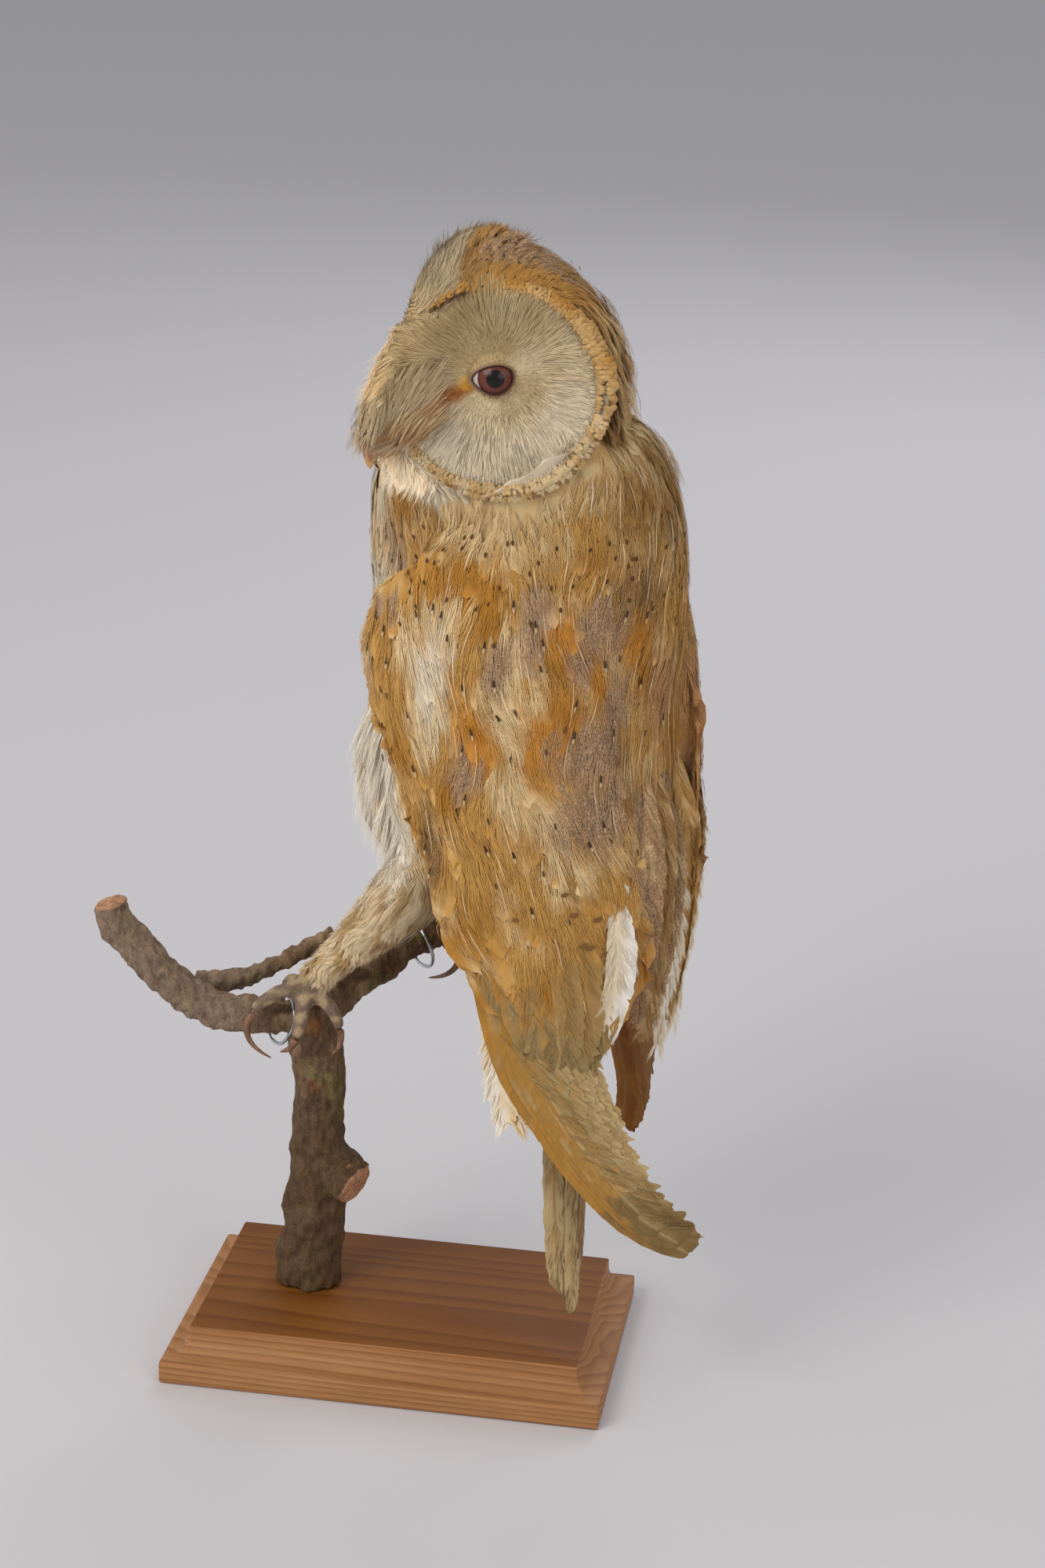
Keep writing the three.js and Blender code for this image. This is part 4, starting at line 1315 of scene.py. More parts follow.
def add_bill_bristles(skin, coat):
    """Bristles that lie down over the bill from its root."""
    starts = [
        HEAD.out(vec(x, y, z))
        for x, z in ((50, 2), (51, -3), (50, -8), (47, -11), (44, -13)) for y in (-4, -1.5, 1.5, 4, 6)
    ]
    starts += [
        HEAD.out(vec(x, y, z))
        for x, y in ((33, 15), (36, 13), (39, 11), (42, 9), (45, 7)) for z in (8, 5, 2, -1, -4, -7)
    ]
    starts = np.repeat(np.array(starts), 16, axis=0) + rng.normal(0, 1.1, (len(starts) * 16, 3))
    place, outward = skin.snap(starts)
    count = len(place)
    aim = HEAD.out(vec(58, 1.5, -19)) + rng.normal(0, 2.6, (count, 3))
    ahead = unit(aim - place)
    length = np.minimum(spread(count, 9, 16), 0.95 * np.linalg.norm(aim - place, axis=1))
    share = np.linspace(0, 1, 4)
    bow = HEAD.direct(vec(0.8, 0.0, 0.3)) * 1.5 + outward * 3.0
    line = place[:, None] + ahead[:, None] * (share * length[:, None])[:, :, None]
    line = line + bow[:, None] * np.sin(np.pi * share * 0.85)[None, :, None]
    normals = np.repeat(outward[:, None], 4, axis=1)
    aheads = np.repeat(ahead[:, None], 4, axis=1)
    colour = mix(disc_marking(place, outward), rgba(mix(HAIR_BUFF, FACE_PALE, 0.35)), 0.5)
    warm = smooth(-4, -10, HEAD.into(place)[:, 2])[:, None] * 0.5
    colour = mix(colour, rgba(mix(RUST, FACE_BUFF, 0.5)), warm)
    colour[:, :3] *= rng.normal(1, 0.1, (count, 1))
    add_locks(
        coat, (line, normals, aheads), skin.uv_near(place), colour, spread(count, 1.0, 2.4), 0.22, 3, lift=0.3
    )


VEIL_HAIRS = 900


def add_bill_veil(skin, coat):
    """The last hairs of the near dish, which hide the bill's root and leave its tip bare."""
    count = VEIL_HAIRS
    t = rng.random((count, 1))
    start = mix(vec(16, -40, 338), vec(-5, -46, 344), t) + rng.normal(0, 1.3, (count, 3))
    aim = mix(vec(5, -50.5, 326.5), vec(-8, -54, 330), t) + rng.normal(0, 1.5, (count, 3))
    facing = unit(vec(-0.25, -0.93, 0.25))
    ahead = unit(aim - start)
    length = np.linalg.norm(aim - start, axis=1) * spread(count, 0.7, 1.0)
    share = np.linspace(0, 1, 5)
    high = np.outer(spread(count, 1.2, 3.2), np.sin(np.pi * (0.1 + 0.75 * share)))
    line = start[:, None] + ahead[:, None] * (share * length[:, None])[:, :, None] + facing * high[:, :, None]
    normals = np.broadcast_to(facing, line.shape)
    aheads = np.repeat(ahead[:, None], 5, axis=1)
    buff = rgba(mix(HAIR_BUFF, FACE_PALE, 0.45))
    colour = laid(buff, smooth(0.75, 0.25, t[:, 0]) * rng.random(count), mix(RUST, FACE_BUFF, 0.65))
    tips = mix(colour, rgba(mix(RUST, FACE_BUFF, 0.4)), 0.5)
    tone = rng.normal(1, 0.09, (count, 1))
    colour[:, :3] *= tone
    tips[:, :3] *= tone
    add_locks(
        coat, (line, normals, aheads), skin.uv_near(start), colour, spread(count, 1.2, 2.4), 0.22, 3,
        lift=0.3, tips=tips,
    )


def add_leg_coat(skin, coat):
    place, outward, roots = skin.scatter(["leg"], LEG_SPACING)
    count = len(place)
    high = smooth(150, 185, place[:, 2])
    length = 4.5 + 6 * high
    course = courses(
        skin, place, outward, leg_flow, length, spread(count, 1.0, 2.2) + 1.2 * high, 3, (0.1, 1.0)
    )
    colour = leg_marking(course[0][:, -1], course[1][:, -1])
    colour[:, :3] *= rng.normal(1, 0.08, (count, 1))
    add_locks(coat, course, roots, colour, spread(count, 1.7, 2.8) + 1.5 * high, 0.25, 6, lift=0.3)


# ------------------------------------------------------------------ flight feathers and tail

# The edges of the folded wings, as the CAD has them.
# Rows: [position, front edge x y z, rear edge x y z, bulge, thickness].
LEFT_WING = [
    [0, 8, -43, 297, 46, -46, 299, 3, 4], [0.1, -7, -36, 285, 60, -43, 281, 9, 9],
    [0.3, -12, -32, 255, 71, -35, 248, 17, 10], [0.5, -2, -36, 226, 79, -31, 213, 16, 9],
    [0.7, 8, -39, 199, 83.5, -28, 179, 12, 8], [0.88, 18, -42, 168, 83, -27, 152, 8, 6],
    [1, 30, -43.5, 144, 75, -29.5, 132, 5, 3],
]
RIGHT_WING = [
    [0, 40, 50, 298, 66, 36, 299, 3, 4], [0.1, 32, 50, 285, 83, 15, 280, 12, 9],
    [0.3, 29, 48, 255, 91.5, -3, 251, 20, 10], [0.5, 29, 47, 226, 94.5, -9, 214, 19, 9],
    [0.7, 31, 46, 199, 94.5, -11, 182, 15, 8], [0.88, 36, 45, 169, 91, -8, 155, 10, 6],
    [1, 46, 43, 143, 84, -1, 130, 6, 3],
]
LEFT_PRIMARIES = [
    [0, 21, -36, 166, 60, -31, 164, 4, 3], [0.25, 30.5, -41.5, 133, 64, -36, 128, 3.5, 4],
    [0.5, 43, -43, 110, 72, -38, 106, 3, 3.5], [0.7, 57, -43.5, 90, 81, -39, 91, 2.2, 3],
    [0.87, 75, -43.5, 73, 93, -40, 77, 1, 2.5], [1, 98, -41.5, 63, 105, -40.5, 67, 0.2, 1.6],
]
RIGHT_PRIMARIES = [
    [0, 40, 40, 166, 78, 2, 162, 5, 3], [0.3, 48, 40, 133, 83, 3, 127, 4, 4],
    [0.6, 58, 37, 107, 83, 10, 104, 3, 3], [0.85, 67, 32, 88, 81, 19, 89, 1.5, 2.5],
    [1, 73, 29, 77, 77, 26, 79, 0.2, 1.6],
]
TAIL = [[50, -3, 166, 11], [54, -9, 136, 14], [57.5, -20, 100, 15], [60, -29, 66, 13.5], [62, -36, 37, 5.5]]
UNDERTAIL = [[40, -2, 166, 12], [37.5, -8, 136, 12.5], [38.5, -14, 112, 9], [41, -19, 95, 3]]


def wing_course(rows, outward, positions, across, lift):
    """A line on a folded wing and the direction away from the body along it. across is 0 in front."""
    values = spline(rows, positions)
    front, rear, bulge, thick = values[:, 0:3], values[:, 3:6], values[:, 6:7], values[:, 7:8]
    chord = rear - front
    size = np.linalg.norm(chord, axis=1, keepdims=True)
    away = unit(outward - chord * (chord @ outward)[:, None] / size**2)
    off = (2 * across - 1)[:, None]
    rise = bulge * (1 - off**2) + thick / 2 * np.sqrt(np.clip(1 - off**2, 0, 1)) + np.reshape(lift, (-1, 1))
    return front + chord * across[:, None] + away * rise, unit(away + chord / size * 4 * bulge * off / size)


PLUME_ROWS = 90
PLUME_BASE = 0.55  # width at the root, as a share of the greatest
PLUME_ACROSS = vec(-1, -0.86, -0.62, -0.34, -0.09, 0, 0.09, 0.34, 0.62, 0.86, 1)


def add_plume(coat, line, face, left, right, paint, cell, camber=0.05, ragged=(0.10, 0.10), blunt=0.16):
    """One large feather: a shaft line with a vane on either side, left and right millimetres wide."""
    rows = PLUME_ROWS
    share = np.linspace(0, 1, rows)
    source = np.linspace(0, 1, len(line))
    centre = np.stack([np.interp(share, source, line[:, k]) for k in range(3)], 1)
    normal = unit(np.stack([np.interp(share, source, face[:, k]) for k in range(3)], 1))
    ahead = unit(np.gradient(centre, axis=0))
    side = unit(np.cross(normal, ahead))
    tip = np.clip((share - 1 + blunt) / blunt, 0, 0.995)
    body = mix(PLUME_BASE, 1, smooth(0, 0.35, share)) * np.sqrt(np.clip(1 - tip**2, 0, 1))
    points, colours = [], []
    notch = {}
    for way, rough in zip((-1, 1), ragged):
        notch[way] = rough * (0.5 + 0.5 * ripple(centre, 3.0, 300 + rng.integers(99)))
        notch[way] = notch[way] + rng.uniform(0, 0.4 * rough, rows)
        notch[way] *= smooth(0.1, 0.4, share)
        splits = rng.integers(8, rows - 2, rng.integers(3, 7))
        notch[way][splits] += rng.uniform(0.5, 2.2, len(splits)) * rough
    tone = {}
    for way in (-1, 1):
        tone[way] = 1 + 0.05 * rng.standard_normal(rows) + 0.04 * ripple(centre, 4.0, 400 + rng.integers(99))
    for across in PLUME_ACROSS:
        way = -1 if across < 0 else 1
        reach = (left if way < 0 else right) * body
        reach = reach * (1 - notch[way] * smooth(0.5, 1, abs(across)))
        slip = (0.55 + 0.25 * abs(across)) * reach * abs(across)
        drop = camber * reach * across**2 - 0.14 * (abs(across) < 0.05)
        points.append(
            centre + side * (reach * across)[:, None] + ahead * slip[:, None] - normal * drop[:, None]
        )
        shade = paint(points[-1], share, across)
        shade[:, :3] *= (1 + (tone[way] - 1) * min(1, 4 * abs(across)))[:, None]
        colours.append(shade)
    faces, _ = vane_grid(rows, len(PLUME_ACROSS))
    along = np.repeat(share, len(PLUME_ACROSS))
    local = np.stack([np.tile(PLUME_ACROSS / 2 + 0.5, rows), along], 1)
    points, colours = np.stack(points, 1).reshape(1, -1, 3), np.stack(colours, 1).reshape(1, -1, 4)
    coat.add(points, faces, colours, local, np.array([cell[:2]]), patch=np.array(cell[2:]))
    return centre, normal, ahead, side, body, (left, right), paint, cell


def add_plume_down(
    coat, plume, number, length=(5, 9), edge=0.5, sides=(-1, 1), rise=0.12, tone=1.0, width=1.8, slant=0.75
):
    """Soft tufts that lie over a large feather along its barbs. edge: the share of them on its outline."""
    centre, normal, ahead, side, body, reaches, paint, cell = plume
    rows = len(centre)
    share = rng.uniform(0.05, 0.97, number)
    across = np.where(
        rng.random(number) < edge, rng.uniform(0.7, 0.95, number), rng.uniform(0.1, 0.9, number)
    )
    across = across * rng.choice(sides, number)
    at = np.clip((share * (rows - 1)).astype(int), 0, rows - 1)
    reach = np.where(across < 0, reaches[0], reaches[1]) * body[at]
    inner = across * 0.45
    start = (
        centre[at] + side[at] * (reach * inner)[:, None] + ahead[at] * (0.7 * reach * np.abs(inner))[:, None]
    )
    start = start + normal[at] * rise
    way = unit(
        ahead[at] * 1.2 + side[at] * (np.sign(across) * slant)[:, None] + rng.normal(0, 0.05, (number, 3))
    )
    steps = np.linspace(0, 1, 4)
    line = start[:, None] + way[:, None] * (steps * spread(number, *length)[:, None])[:, :, None]
    line = line + normal[at][:, None] * (0.2 * np.sin(np.pi * steps))[None, :, None]
    colour = np.empty((number, 4))
    for k in range(number):
        colour[k] = paint(start[k : k + 1], share[k : k + 1], across[k] * 0.9)[0]
    colour[:, :3] *= tone * rng.normal(1, 0.06, (number, 1))
    roots = np.stack([cell[0] + across / 2 * cell[2] * 0.9, cell[1] + (share - 0.5) * cell[3]], 1)
    normals, aheads = (np.repeat(part[:, None], 4, axis=1) for part in (normal[at], way))
    add_locks(
        coat, (line, normals, aheads), roots, colour, spread(number, 0.6 * width, width), 0.17, 6, lift=0.06
    )


def strip(index, count):
    """The place and size of one feather's strip on the unwrap of a piece of count feathers."""
    return ((index + 0.5) / count, 0.5, 0.9 / count, 0.96)


PRIMARY_GOLD = srgb(173, 125, 56)
PRIMARY_CREAM = srgb(165, 140, 94)
PRIMARY_TIP = srgb(128, 102, 64)


def plume_paint(
    edge, inner, shaft, bars=None, tip=None, tip_from=0.75, bar_colour=DUSKY, shaft_show=0.8, seed=0
):
    """Colours of a flight feather: edge on the front vane, inner on the other, with bars and another tip."""

    def paint(points, share, across):
        colour = plain(points, edge if across < -0.1 else mix(edge, inner, smooth(0.05, 0.6, across)))
        colour = blotches(colour, rgba(mix(edge, inner, 0.5)), points, 12, 70 + seed, 0.1, 0.9)
        for at in bars or ():
            mark = smooth(
                0.032, 0.012, np.abs(share - at - 0.03 * abs(across))
            ) * smooth(1.0, 0.2, abs(across))
            colour = laid(colour, 0.6 * mark, bar_colour, 0.2)
        if tip is not None:
            far = smooth(tip_from, 0.97, share + 0.06 * ripple(points, 7, 80 + seed))
            colour = laid(colour, far, tip, 0.25)
        if abs(across) < 0.1:
            colour[:, :3] = mix(colour[:, :3], shaft, shaft_show if across == 0 else 0.4 * shaft_show)
        return colour

    return paint


def add_left_flight(coat, down):
    tips = [1.0, 0.965, 0.91, 0.84, 0.76, 0.67, 0.58, 0.49, 0.40]
    secondaries = 7
    count = len(tips) + secondaries
    for i, tip in enumerate(tips):
        s = np.linspace(0.0, tip, 20)
        share = s / tip
        a = mix(0.10 + 0.10 * i, 0.46 if i == 0 else min(0.58 + 0.04 * i, 0.86), share**0.9)
        line, face = wing_course(LEFT_PRIMARIES, LEFT_OUT, s, a, -1.8 + 0.3 * i + 0.25 * share)
        pale = mix(PRIMARY_CREAM, CREAM, 0.1 * i if i < 5 else 0.4)
        paint = plume_paint(mix(
            PRIMARY_GOLD, PRIMARY_CREAM, 0.06 * i
        ), pale, mix(PRIMARY_CREAM, CREAM, 0.5), (0.45, 0.63, 0.8),
                            PRIMARY_TIP if i < 4 else None, 0.74, shaft_show=0.5, seed=i)
        plume = add_plume(
            coat, line, face, 5.0, 11.5, paint, strip(i, count), ragged=(0.03, 0.12), blunt=0.12, camber=0.04
        )
        add_plume_down(down, plume, 40, (8, 12), 0.6, (1,), width=1.5)
    for i in range(secondaries):
        last = i == secondaries - 1
        s = np.linspace(0.64 if last else 0.55, 1.0, 16)
        share = (s - s[0]) / (s[-1] - s[0])
        a = mix(0.14 + 0.12 * i, 0.22 + 0.095 * i, share)
        lift = mix(-2.6, 1.2, smooth(0, 0.35, share)) if last else mix(-3.6, -0.2, share**1.6) + 0.16 * i
        line, face = wing_course(LEFT_WING, LEFT_OUT, s, a, lift)
        low = 2.0 + 7.5 * math.sin(math.pi * (i + 0.2) / secondaries) - 9.0 * (i == 0) + (
            0, 0.8, -1.0, 0.6, 1.0, -1.0, -2.0
        )[i]
        line = line + vec(0.30, 0.02, -1) * low * (share**2)[:, None]
        edge = mix(CREAM, WHITE, 0.6) if last else mix(mix(PRIMARY_GOLD, GOLD, 0.3), DUSKY, 0.1 * (i % 3))
        inner = srgb(250, 244, 234) if last else mix(PRIMARY_GOLD, PRIMARY_CREAM, 0.6)
        paint = plume_paint(edge, inner, mix(edge, CREAM, 0.5), () if last else (0.6, 0.82),
                            None if last else mix(
                                PRIMARY_TIP, PRIMARY_CREAM, 0.75
                            ), 0.72, shaft_show=0.35, seed=20 + i)
        wide = (4.0, 7.0) if last else (7.0, 10.0)
        cell = strip(len(tips) + i, count)
        plume = add_plume(coat, line, face, *wide, paint, cell, ragged=(0.05, 0.10), blunt=0.3, camber=0.02)
        add_plume_down(down, plume, 60, (8, 13), 0.3, width=2.6, slant=0.4)


def add_right_flight(coat, down):
    tips = [1.0, 0.95, 0.88, 0.79, 0.69, 0.58, 0.46]
    secondaries = 7
    count = len(tips) + secondaries
    dark = srgb(124, 88, 54)
    for i, tip in enumerate(tips):
        s = np.linspace(0.0, tip, 18)
        share = s / tip
        a = mix(0.10 + 0.12 * i, 0.5 if i == 0 else 0.60 + 0.02 * i, share**0.9)
        line, face = wing_course(RIGHT_PRIMARIES, RIGHT_OUT, s, a, -1.4 + 0.34 * i + 0.2 * share)
        line = line - vec(5, 0, 0) * (s**2)[:, None]
        rusty = mix(srgb(136, 82, 32), srgb(176, 132, 82), min(1, 0.4 * i))
        paint = plume_paint(rusty, mix(rusty, GOLD, 0.3), mix(BROWN, DUSKY, 0.5), (0.4, 0.6, 0.8), rusty, 0.8,
                            bar_colour=dark, seed=40 + i)
        plume = add_plume(coat, line, face, 9.0, 4.0, paint, strip(i, count), ragged=(0.10, 0.03), blunt=0.14)
        add_plume_down(down, plume, 30, (4, 8), 0.4)
    for i in range(secondaries):
        s = np.linspace(0.45, 1.0, 16)
        share = (s - s[0]) / (s[-1] - s[0])
        a = mix(0.10 + 0.135 * i, 0.16 + 0.125 * i, share)
        line, face = wing_course(RIGHT_WING, RIGHT_OUT, s, a, mix(-3.6, 0.0, share**1.6) + 0.16 * i)
        line = line + vec(0.1, -0.05, -1) * 5 * (share**2)[:, None]
        paint = plume_paint(
            mix(GOLD, DUSKY, 0.5), mix(GOLD, CREAM, 0.2), mix(BROWN, GOLD, 0.3), (0.35, 0.6, 0.82),
            bar_colour=dark, shaft_show=0.4, seed=60 + i,
        )
        if i in (2, 4, 6):
            paint = plume_paint(mix(GOLD, CREAM, 0.5), WHITE, WHITE, (), shaft_show=0.4, seed=60 + i)
        plume = add_plume(
            coat, line, face, 9.0, 5.0, paint, strip(len(tips) + i, count), ragged=(0.12, 0.05), blunt=0.24
        )
        # painted light: this down is made 8% brighter (tone 1.08), against the shade of the hollow between
        # the wings
        add_plume_down(down, plume, 70, (8, 14), 0.3, rise=0.5, width=3.0, tone=1.08, slant=0.3)


# Between the wings' rear edges: three points of each shaft, width, colour of the vane, share of grey.
TERTIALS = [
    [(77.5, -30.5, 226), (82, -30.5, 200), (79, -25, 137), 5.0, mix(GREY, BROWN, 0.4), 0.8],
    [(79, -25, 232), (85, -27, 203), (81, -21, 129), 5.5, mix(DUSKY, BROWN, 0.35), 0.4],
    [(80.5, -20, 226), (88, -22, 198), (83, -17, 134), 5.0, mix(GREY, DUSKY, 0.4), 0.9],
    [(82.5, -15.5, 216), (90, -17, 186), (85, -13, 124), 2.6, WHITE, 0.0],
    [(85, -11.5, 234), (92, -12, 202), (86, -10, 130), 5.5, mix(DUSKY, GOLD, 0.5), 0.1],
    [(87.5, -7, 228), (93.5, -7, 204), (88, -6, 136), 5.0, mix(BROWN, DUSKY, 0.6), 0.6],
    [(89, -3, 216), (94, -2, 190), (89, -3, 127), 2.6, mix(WHITE, CREAM, 0.3), 0.0],
]


def add_tertials(coat, down):
    for i, (top, middle, foot, wide, tone, grey) in enumerate(TERTIALS):
        share = np.linspace(0, 1, 20)
        outward = unit(mix(vec(0.25, -0.97, 0), vec(0.75, -0.66, 0), i / (len(TERTIALS) - 1)))
        sunk = 4.5 * smooth(0.36, 0, share) + 1.0
        line = spline([[0, *top], [0.32, *middle], [1, *foot]], share) - outward * sunk[:, None]
        face = np.tile(outward, (20, 1))

        def paint(points, share, across):
            colour = blotches(
                plain(points, tone, grey), rgba(mix(tone, CREAM, 0.4), grey), points, 9, 160 + i
            )
            dark = smooth(
                0.035, 0.012, np.abs((share * 4 + 0.3 * i) % 1 - 0.5)
            ) * (wide > 4) * smooth(1, 0.3, abs(across))
            return laid(colour, 0.35 * dark, mix(BROWN, DUSKY, 0.3), 0.2)

        plume = add_plume(
            coat, line, face, wide, wide, paint, strip(i, len(TERTIALS)), ragged=(0.12, 0.12), blunt=0.4
        )
        add_plume_down(down, plume, 110, (7, 12), 0.5, rise=0.3, width=2.6, slant=0.35)


def add_tail(coat, down):
    count = 9
    away = heading(-25)
    for i, out in enumerate((0, -0.35, 0.35, -0.7, 0.7, -1, 1)):
        t = np.linspace(0, 1, 18)
        rows = np.array([[k / 4, *row] for k, row in enumerate(TAIL)])
        values = spline(rows, t * (1 - 0.06 * abs(out) - 0.025 * (i % 2)))
        across = -heading(245)
        line = values[:, :3] + across * (out * 0.62 * values[:, 3:4]) + away * (1.6 - 1.3 * abs(out))
        face = np.tile(unit(away + across * 0.3 * out), (len(t), 1))
        dark = float(smooth(0.2, 0.9, out))
        pale = mix(CREAM, PRIMARY_CREAM, 0.5)
        paint = plume_paint(
            mix(pale, BROWN, 0.7 * dark), mix(pale, BROWN, 0.5 * dark), mix(BROWN, GOLD, 0.4),
            (0.45, 0.65, 0.82), mix(PRIMARY_TIP, CREAM, 0.3), 0.88, seed=90 + i,
        )
        plume = add_plume(coat, line, face, 4.8, 4.8, paint, strip(i, count), blunt=0.12, ragged=(0.12, 0.12))
        add_plume_down(down, plume, 36, (5, 8), 0.6, tone=1 - 0.2 * dark, slant=0.4)
    for i, out in enumerate((-0.5, 0.5)):
        t = np.linspace(0, 1, 12)
        values = spline(np.array([[k / 3, *row] for k, row in enumerate(UNDERTAIL)]), t)
        line = values[:, :3] + vec(-1, 0.1, 0) * (out * 0.7 * values[:, 3:4]) + vec(-1.5, -8, 4)
        face = np.tile(unit(vec(-0.5, -0.85, 0.1)), (len(t), 1))
        paint = plume_paint(WHITE, CREAM, CREAM, shaft_show=0.3, seed=97 + i)
        plume = add_plume(coat, line, face, 7, 7, paint, strip(7 + i, count), blunt=0.3, ragged=(0.16, 0.16))
        # painted light: this white down is made 10% brighter than white (tone 1.1), against the shade it lies
        # in under the wing
        add_plume_down(down, plume, 90, (7, 12), 0.7, rise=0.3, tone=1.1)
        add_plume_down(down, plume, 90, (7, 12), 0.7, rise=-1.0, tone=1.1)


BELLY = [(-14, -6, 236), (-16, 4, 230), (-14, 14, 226), (-12, -12, 226), (-8, 0, 212), (-4, -10, 200)]
BELLY_TUFTS = 34  # round each of these places
BELLY_LENGTH = (14, 26)


def add_belly_tufts(skin, coat):
    """Long loose white tufts that hang from the breast."""
    down = vec(-0.16, -0.05, -1)
    starts = np.repeat(np.array(BELLY, float), BELLY_TUFTS, axis=0)
    place, outward = skin.snap(starts + rng.normal(0, 5.0, starts.shape))
    count = len(place)

    def flow(points, normals):
        return lie(np.tile(unit(down), (len(points), 1)) + rng.normal(0, 0.08, (len(points), 3)), normals)

    length, rise = spread(count, *BELLY_LENGTH), spread(count, 2, 7)
    course = courses(skin, place, outward, flow, length, rise, 4, (0.05, 1.0))
    line = course[0]
    sag = np.linspace(0, 1, line.shape[1])[None, :, None] ** 2
    line += sag * down * 0.25 * np.mean(BELLY_LENGTH)
    paint = plain(place, WHITE)
    paint[:, :3] *= rng.normal(1, 0.05, (count, 1))
    uv = np.stack([place[:, 0] * 0.002 + 0.5, place[:, 2] * 0.002], 1)
    add_locks(coat, course, uv, paint, np.full(count, 4.5), 0.24, 9, lift=0.5)


# ------------------------------------------------------------------ eyes

# The almond opening between the lids: angle in degrees, with the bill at 180, and radius in millimetres.
OPENING = [
    [0, 5.9], [18, 5.75], [40, 5.0], [65, 4.35], [90, 4.1], [115, 4.35], [140, 5.2], [160, 6.4],
    [173, 7.2], [183, 7.3], [193, 6.7], [210, 5.75], [235, 5.2], [260, 5.1], [290, 5.1], [320, 5.3],
    [345, 5.7], [360, 5.9],
]
LID_OUTER = 9.6
LID_HAIRS = 3200
EYE_CAP = 0.62  # how far the eyeball reaches back, in half turns
EYE_CROWDING = 1.2  # draws its rings towards the pupil
EYE_RAMP = 10.0  # the eye's colour ramps are in shares of this many millimetres


def opening_radius(angle):
    return 0.92 * spline(OPENING, np.degrees(angle) % 360)[:, 0]


def eye_frame(name):
    """The frame of an eye: x out of the head, y to the rear of the eye, z up."""
    axes = DISC[name].axes.copy()
    if name == "right":
        axes[:, 1] *= -1
    return Place(EYE[name], axes)


def add_eyeball(name, material):
    place = eye_frame(name)
    rings, around = 48, 96
    points, maps = [], []
    for i in range(rings + 1):
        for j in range(around):
            polar, turn = math.pi * EYE_CAP * (i / rings) ** EYE_CROWDING + 1e-4, 2 * math.pi * j / around
            bulge = 0.35 * smooth(5.6, 0, 8 * math.sin(polar)) * (polar < 1.5)
            radius = EYE_RADIUS - 0.25 + bulge
            points.append([radius * math.cos(polar), radius * math.sin(polar) * math.cos(turn),
                           radius * math.sin(polar) * math.sin(turn)])
    flip = name == "right"
    faces = [face[::-1] if flip else face for face in ring_quads(rings, around)]
    for i in range(rings):
        for j in range(around):
            turns = [j, j, j + 1, j + 1]
            levels = [i, i + 1, i + 1, i]
            corner = [[turn / around, (level / rings) ** EYE_CROWDING] for turn, level in zip(turns, levels)]
            maps += corner[::-1] if flip else corner
    eye = make_object(f"eyeball_{name}", place.out(points), faces, material, maps={"eye": maps})
    claim(eye, "eye_glass", f"eye_{name}")


def eye_material():
    """Pupil, reddish iris with fibres, and the white at the front corner, under clear glass."""
    m = NodeMaterial("eye_glass")
    m.finish(None, 0.3, Coat_Weight=0.2, Coat_Roughness=0.03, Specular_IOR_Level=0.2)
    turn, out = m.along("eye")
    out = m.math("MULTIPLY", out, EYE_RADIUS * math.pi * EYE_CAP)
    where = m.node("ShaderNodeCombineXYZ")
    m.feed(m.math("MULTIPLY", turn, 60.0), where.inputs[0])
    m.feed(m.math("MULTIPLY", out, 0.9), where.inputs[1])
    fibre = m.node("ShaderNodeTexNoise")
    m.feed(where.outputs[0], fibre.inputs["Vector"])
    m.set(fibre, Scale=1.2, Detail=3.0, Roughness=0.6)
    iris = m.mix(fibre.outputs["Fac"], srgb(64, 31, 24), srgb(130, 74, 62))
    haze = m.noise(m.place(), 2.0, 2.0)
    pupil = m.mix(m.math("MULTIPLY", haze, 0.15), srgb(6, 4, 4), srgb(70, 60, 58))
    limbus = srgb(70, 34, 32)
    place = m.math("MULTIPLY", out, 1 / EYE_RAMP)
    inside = m.ramp(place, (0.262, 0.0), (0.292, 1.0))
    rim = m.ramp(place, (0.27, 1.0), (0.33, 0.0))
    edge = m.ramp(place, (0.51, 0.0), (0.585, 1.0))
    white = m.ramp(place, (0.585, 0.0), (0.615, 1.0))
    colour = m.mix(inside, pupil, iris)
    colour = m.mix(m.math("MULTIPLY", m.math("MULTIPLY", rim, inside), 0.6), colour, srgb(40, 18, 18))
    colour = m.mix(edge, colour, limbus)
    colour = m.mix(white, colour, m.mix(fibre.outputs["Fac"], srgb(214, 206, 206), srgb(190, 172, 172)))
    m.colour(colour)
    return m.material


def lid_surface(skin, name):
    """A function from angle and radius in the eye's frame to points on the lid."""
    place = eye_frame(name)
    angles = np.linspace(0, 2 * np.pi, 49)[:-1]
    height = []
    for angle in angles:
        best = []
        for radius in (LID_OUTER, LID_OUTER + 0.8):
            start = place.out(vec(20, radius * math.cos(angle), radius * math.sin(angle)))
            hit = skin.tree.ray_cast(Vector(start), Vector(-place.axes[:, 0]), 40)
            best.append(place.into(np.array(hit[0])[None])[0, 0] if hit[0] is not None else 3.5)
        height.append(np.mean(best))
    height = np.array(height)
    for _ in range(3):
        height = (np.roll(height, 1) + 2 * height + np.roll(height, -1)) / 4
    loop_angles, loop = np.append(angles, 2 * np.pi), np.append(height, height[0])

    def surface(angle, radius, lift=0.0):
        inner = opening_radius(angle)
        ball = np.sqrt(np.maximum((EYE_RADIUS - 0.05) ** 2 - np.minimum(radius, 7.6) ** 2, 0)) + 0.15
        rest = np.interp(angle % (2 * np.pi), loop_angles, loop) + 0.1
        share = smooth(inner, LID_OUTER, radius)
        brow = 0.55 * np.sin(
            np.pi * np.clip((radius - inner) / (LID_OUTER - inner), 0, 1)
        ) * (0.7 + 0.6 * np.sin(angle))
        x = mix(ball, rest, share) + brow + lift
        return place.out(np.stack([x, radius * np.cos(angle), radius * np.sin(angle)], -1))

    return surface


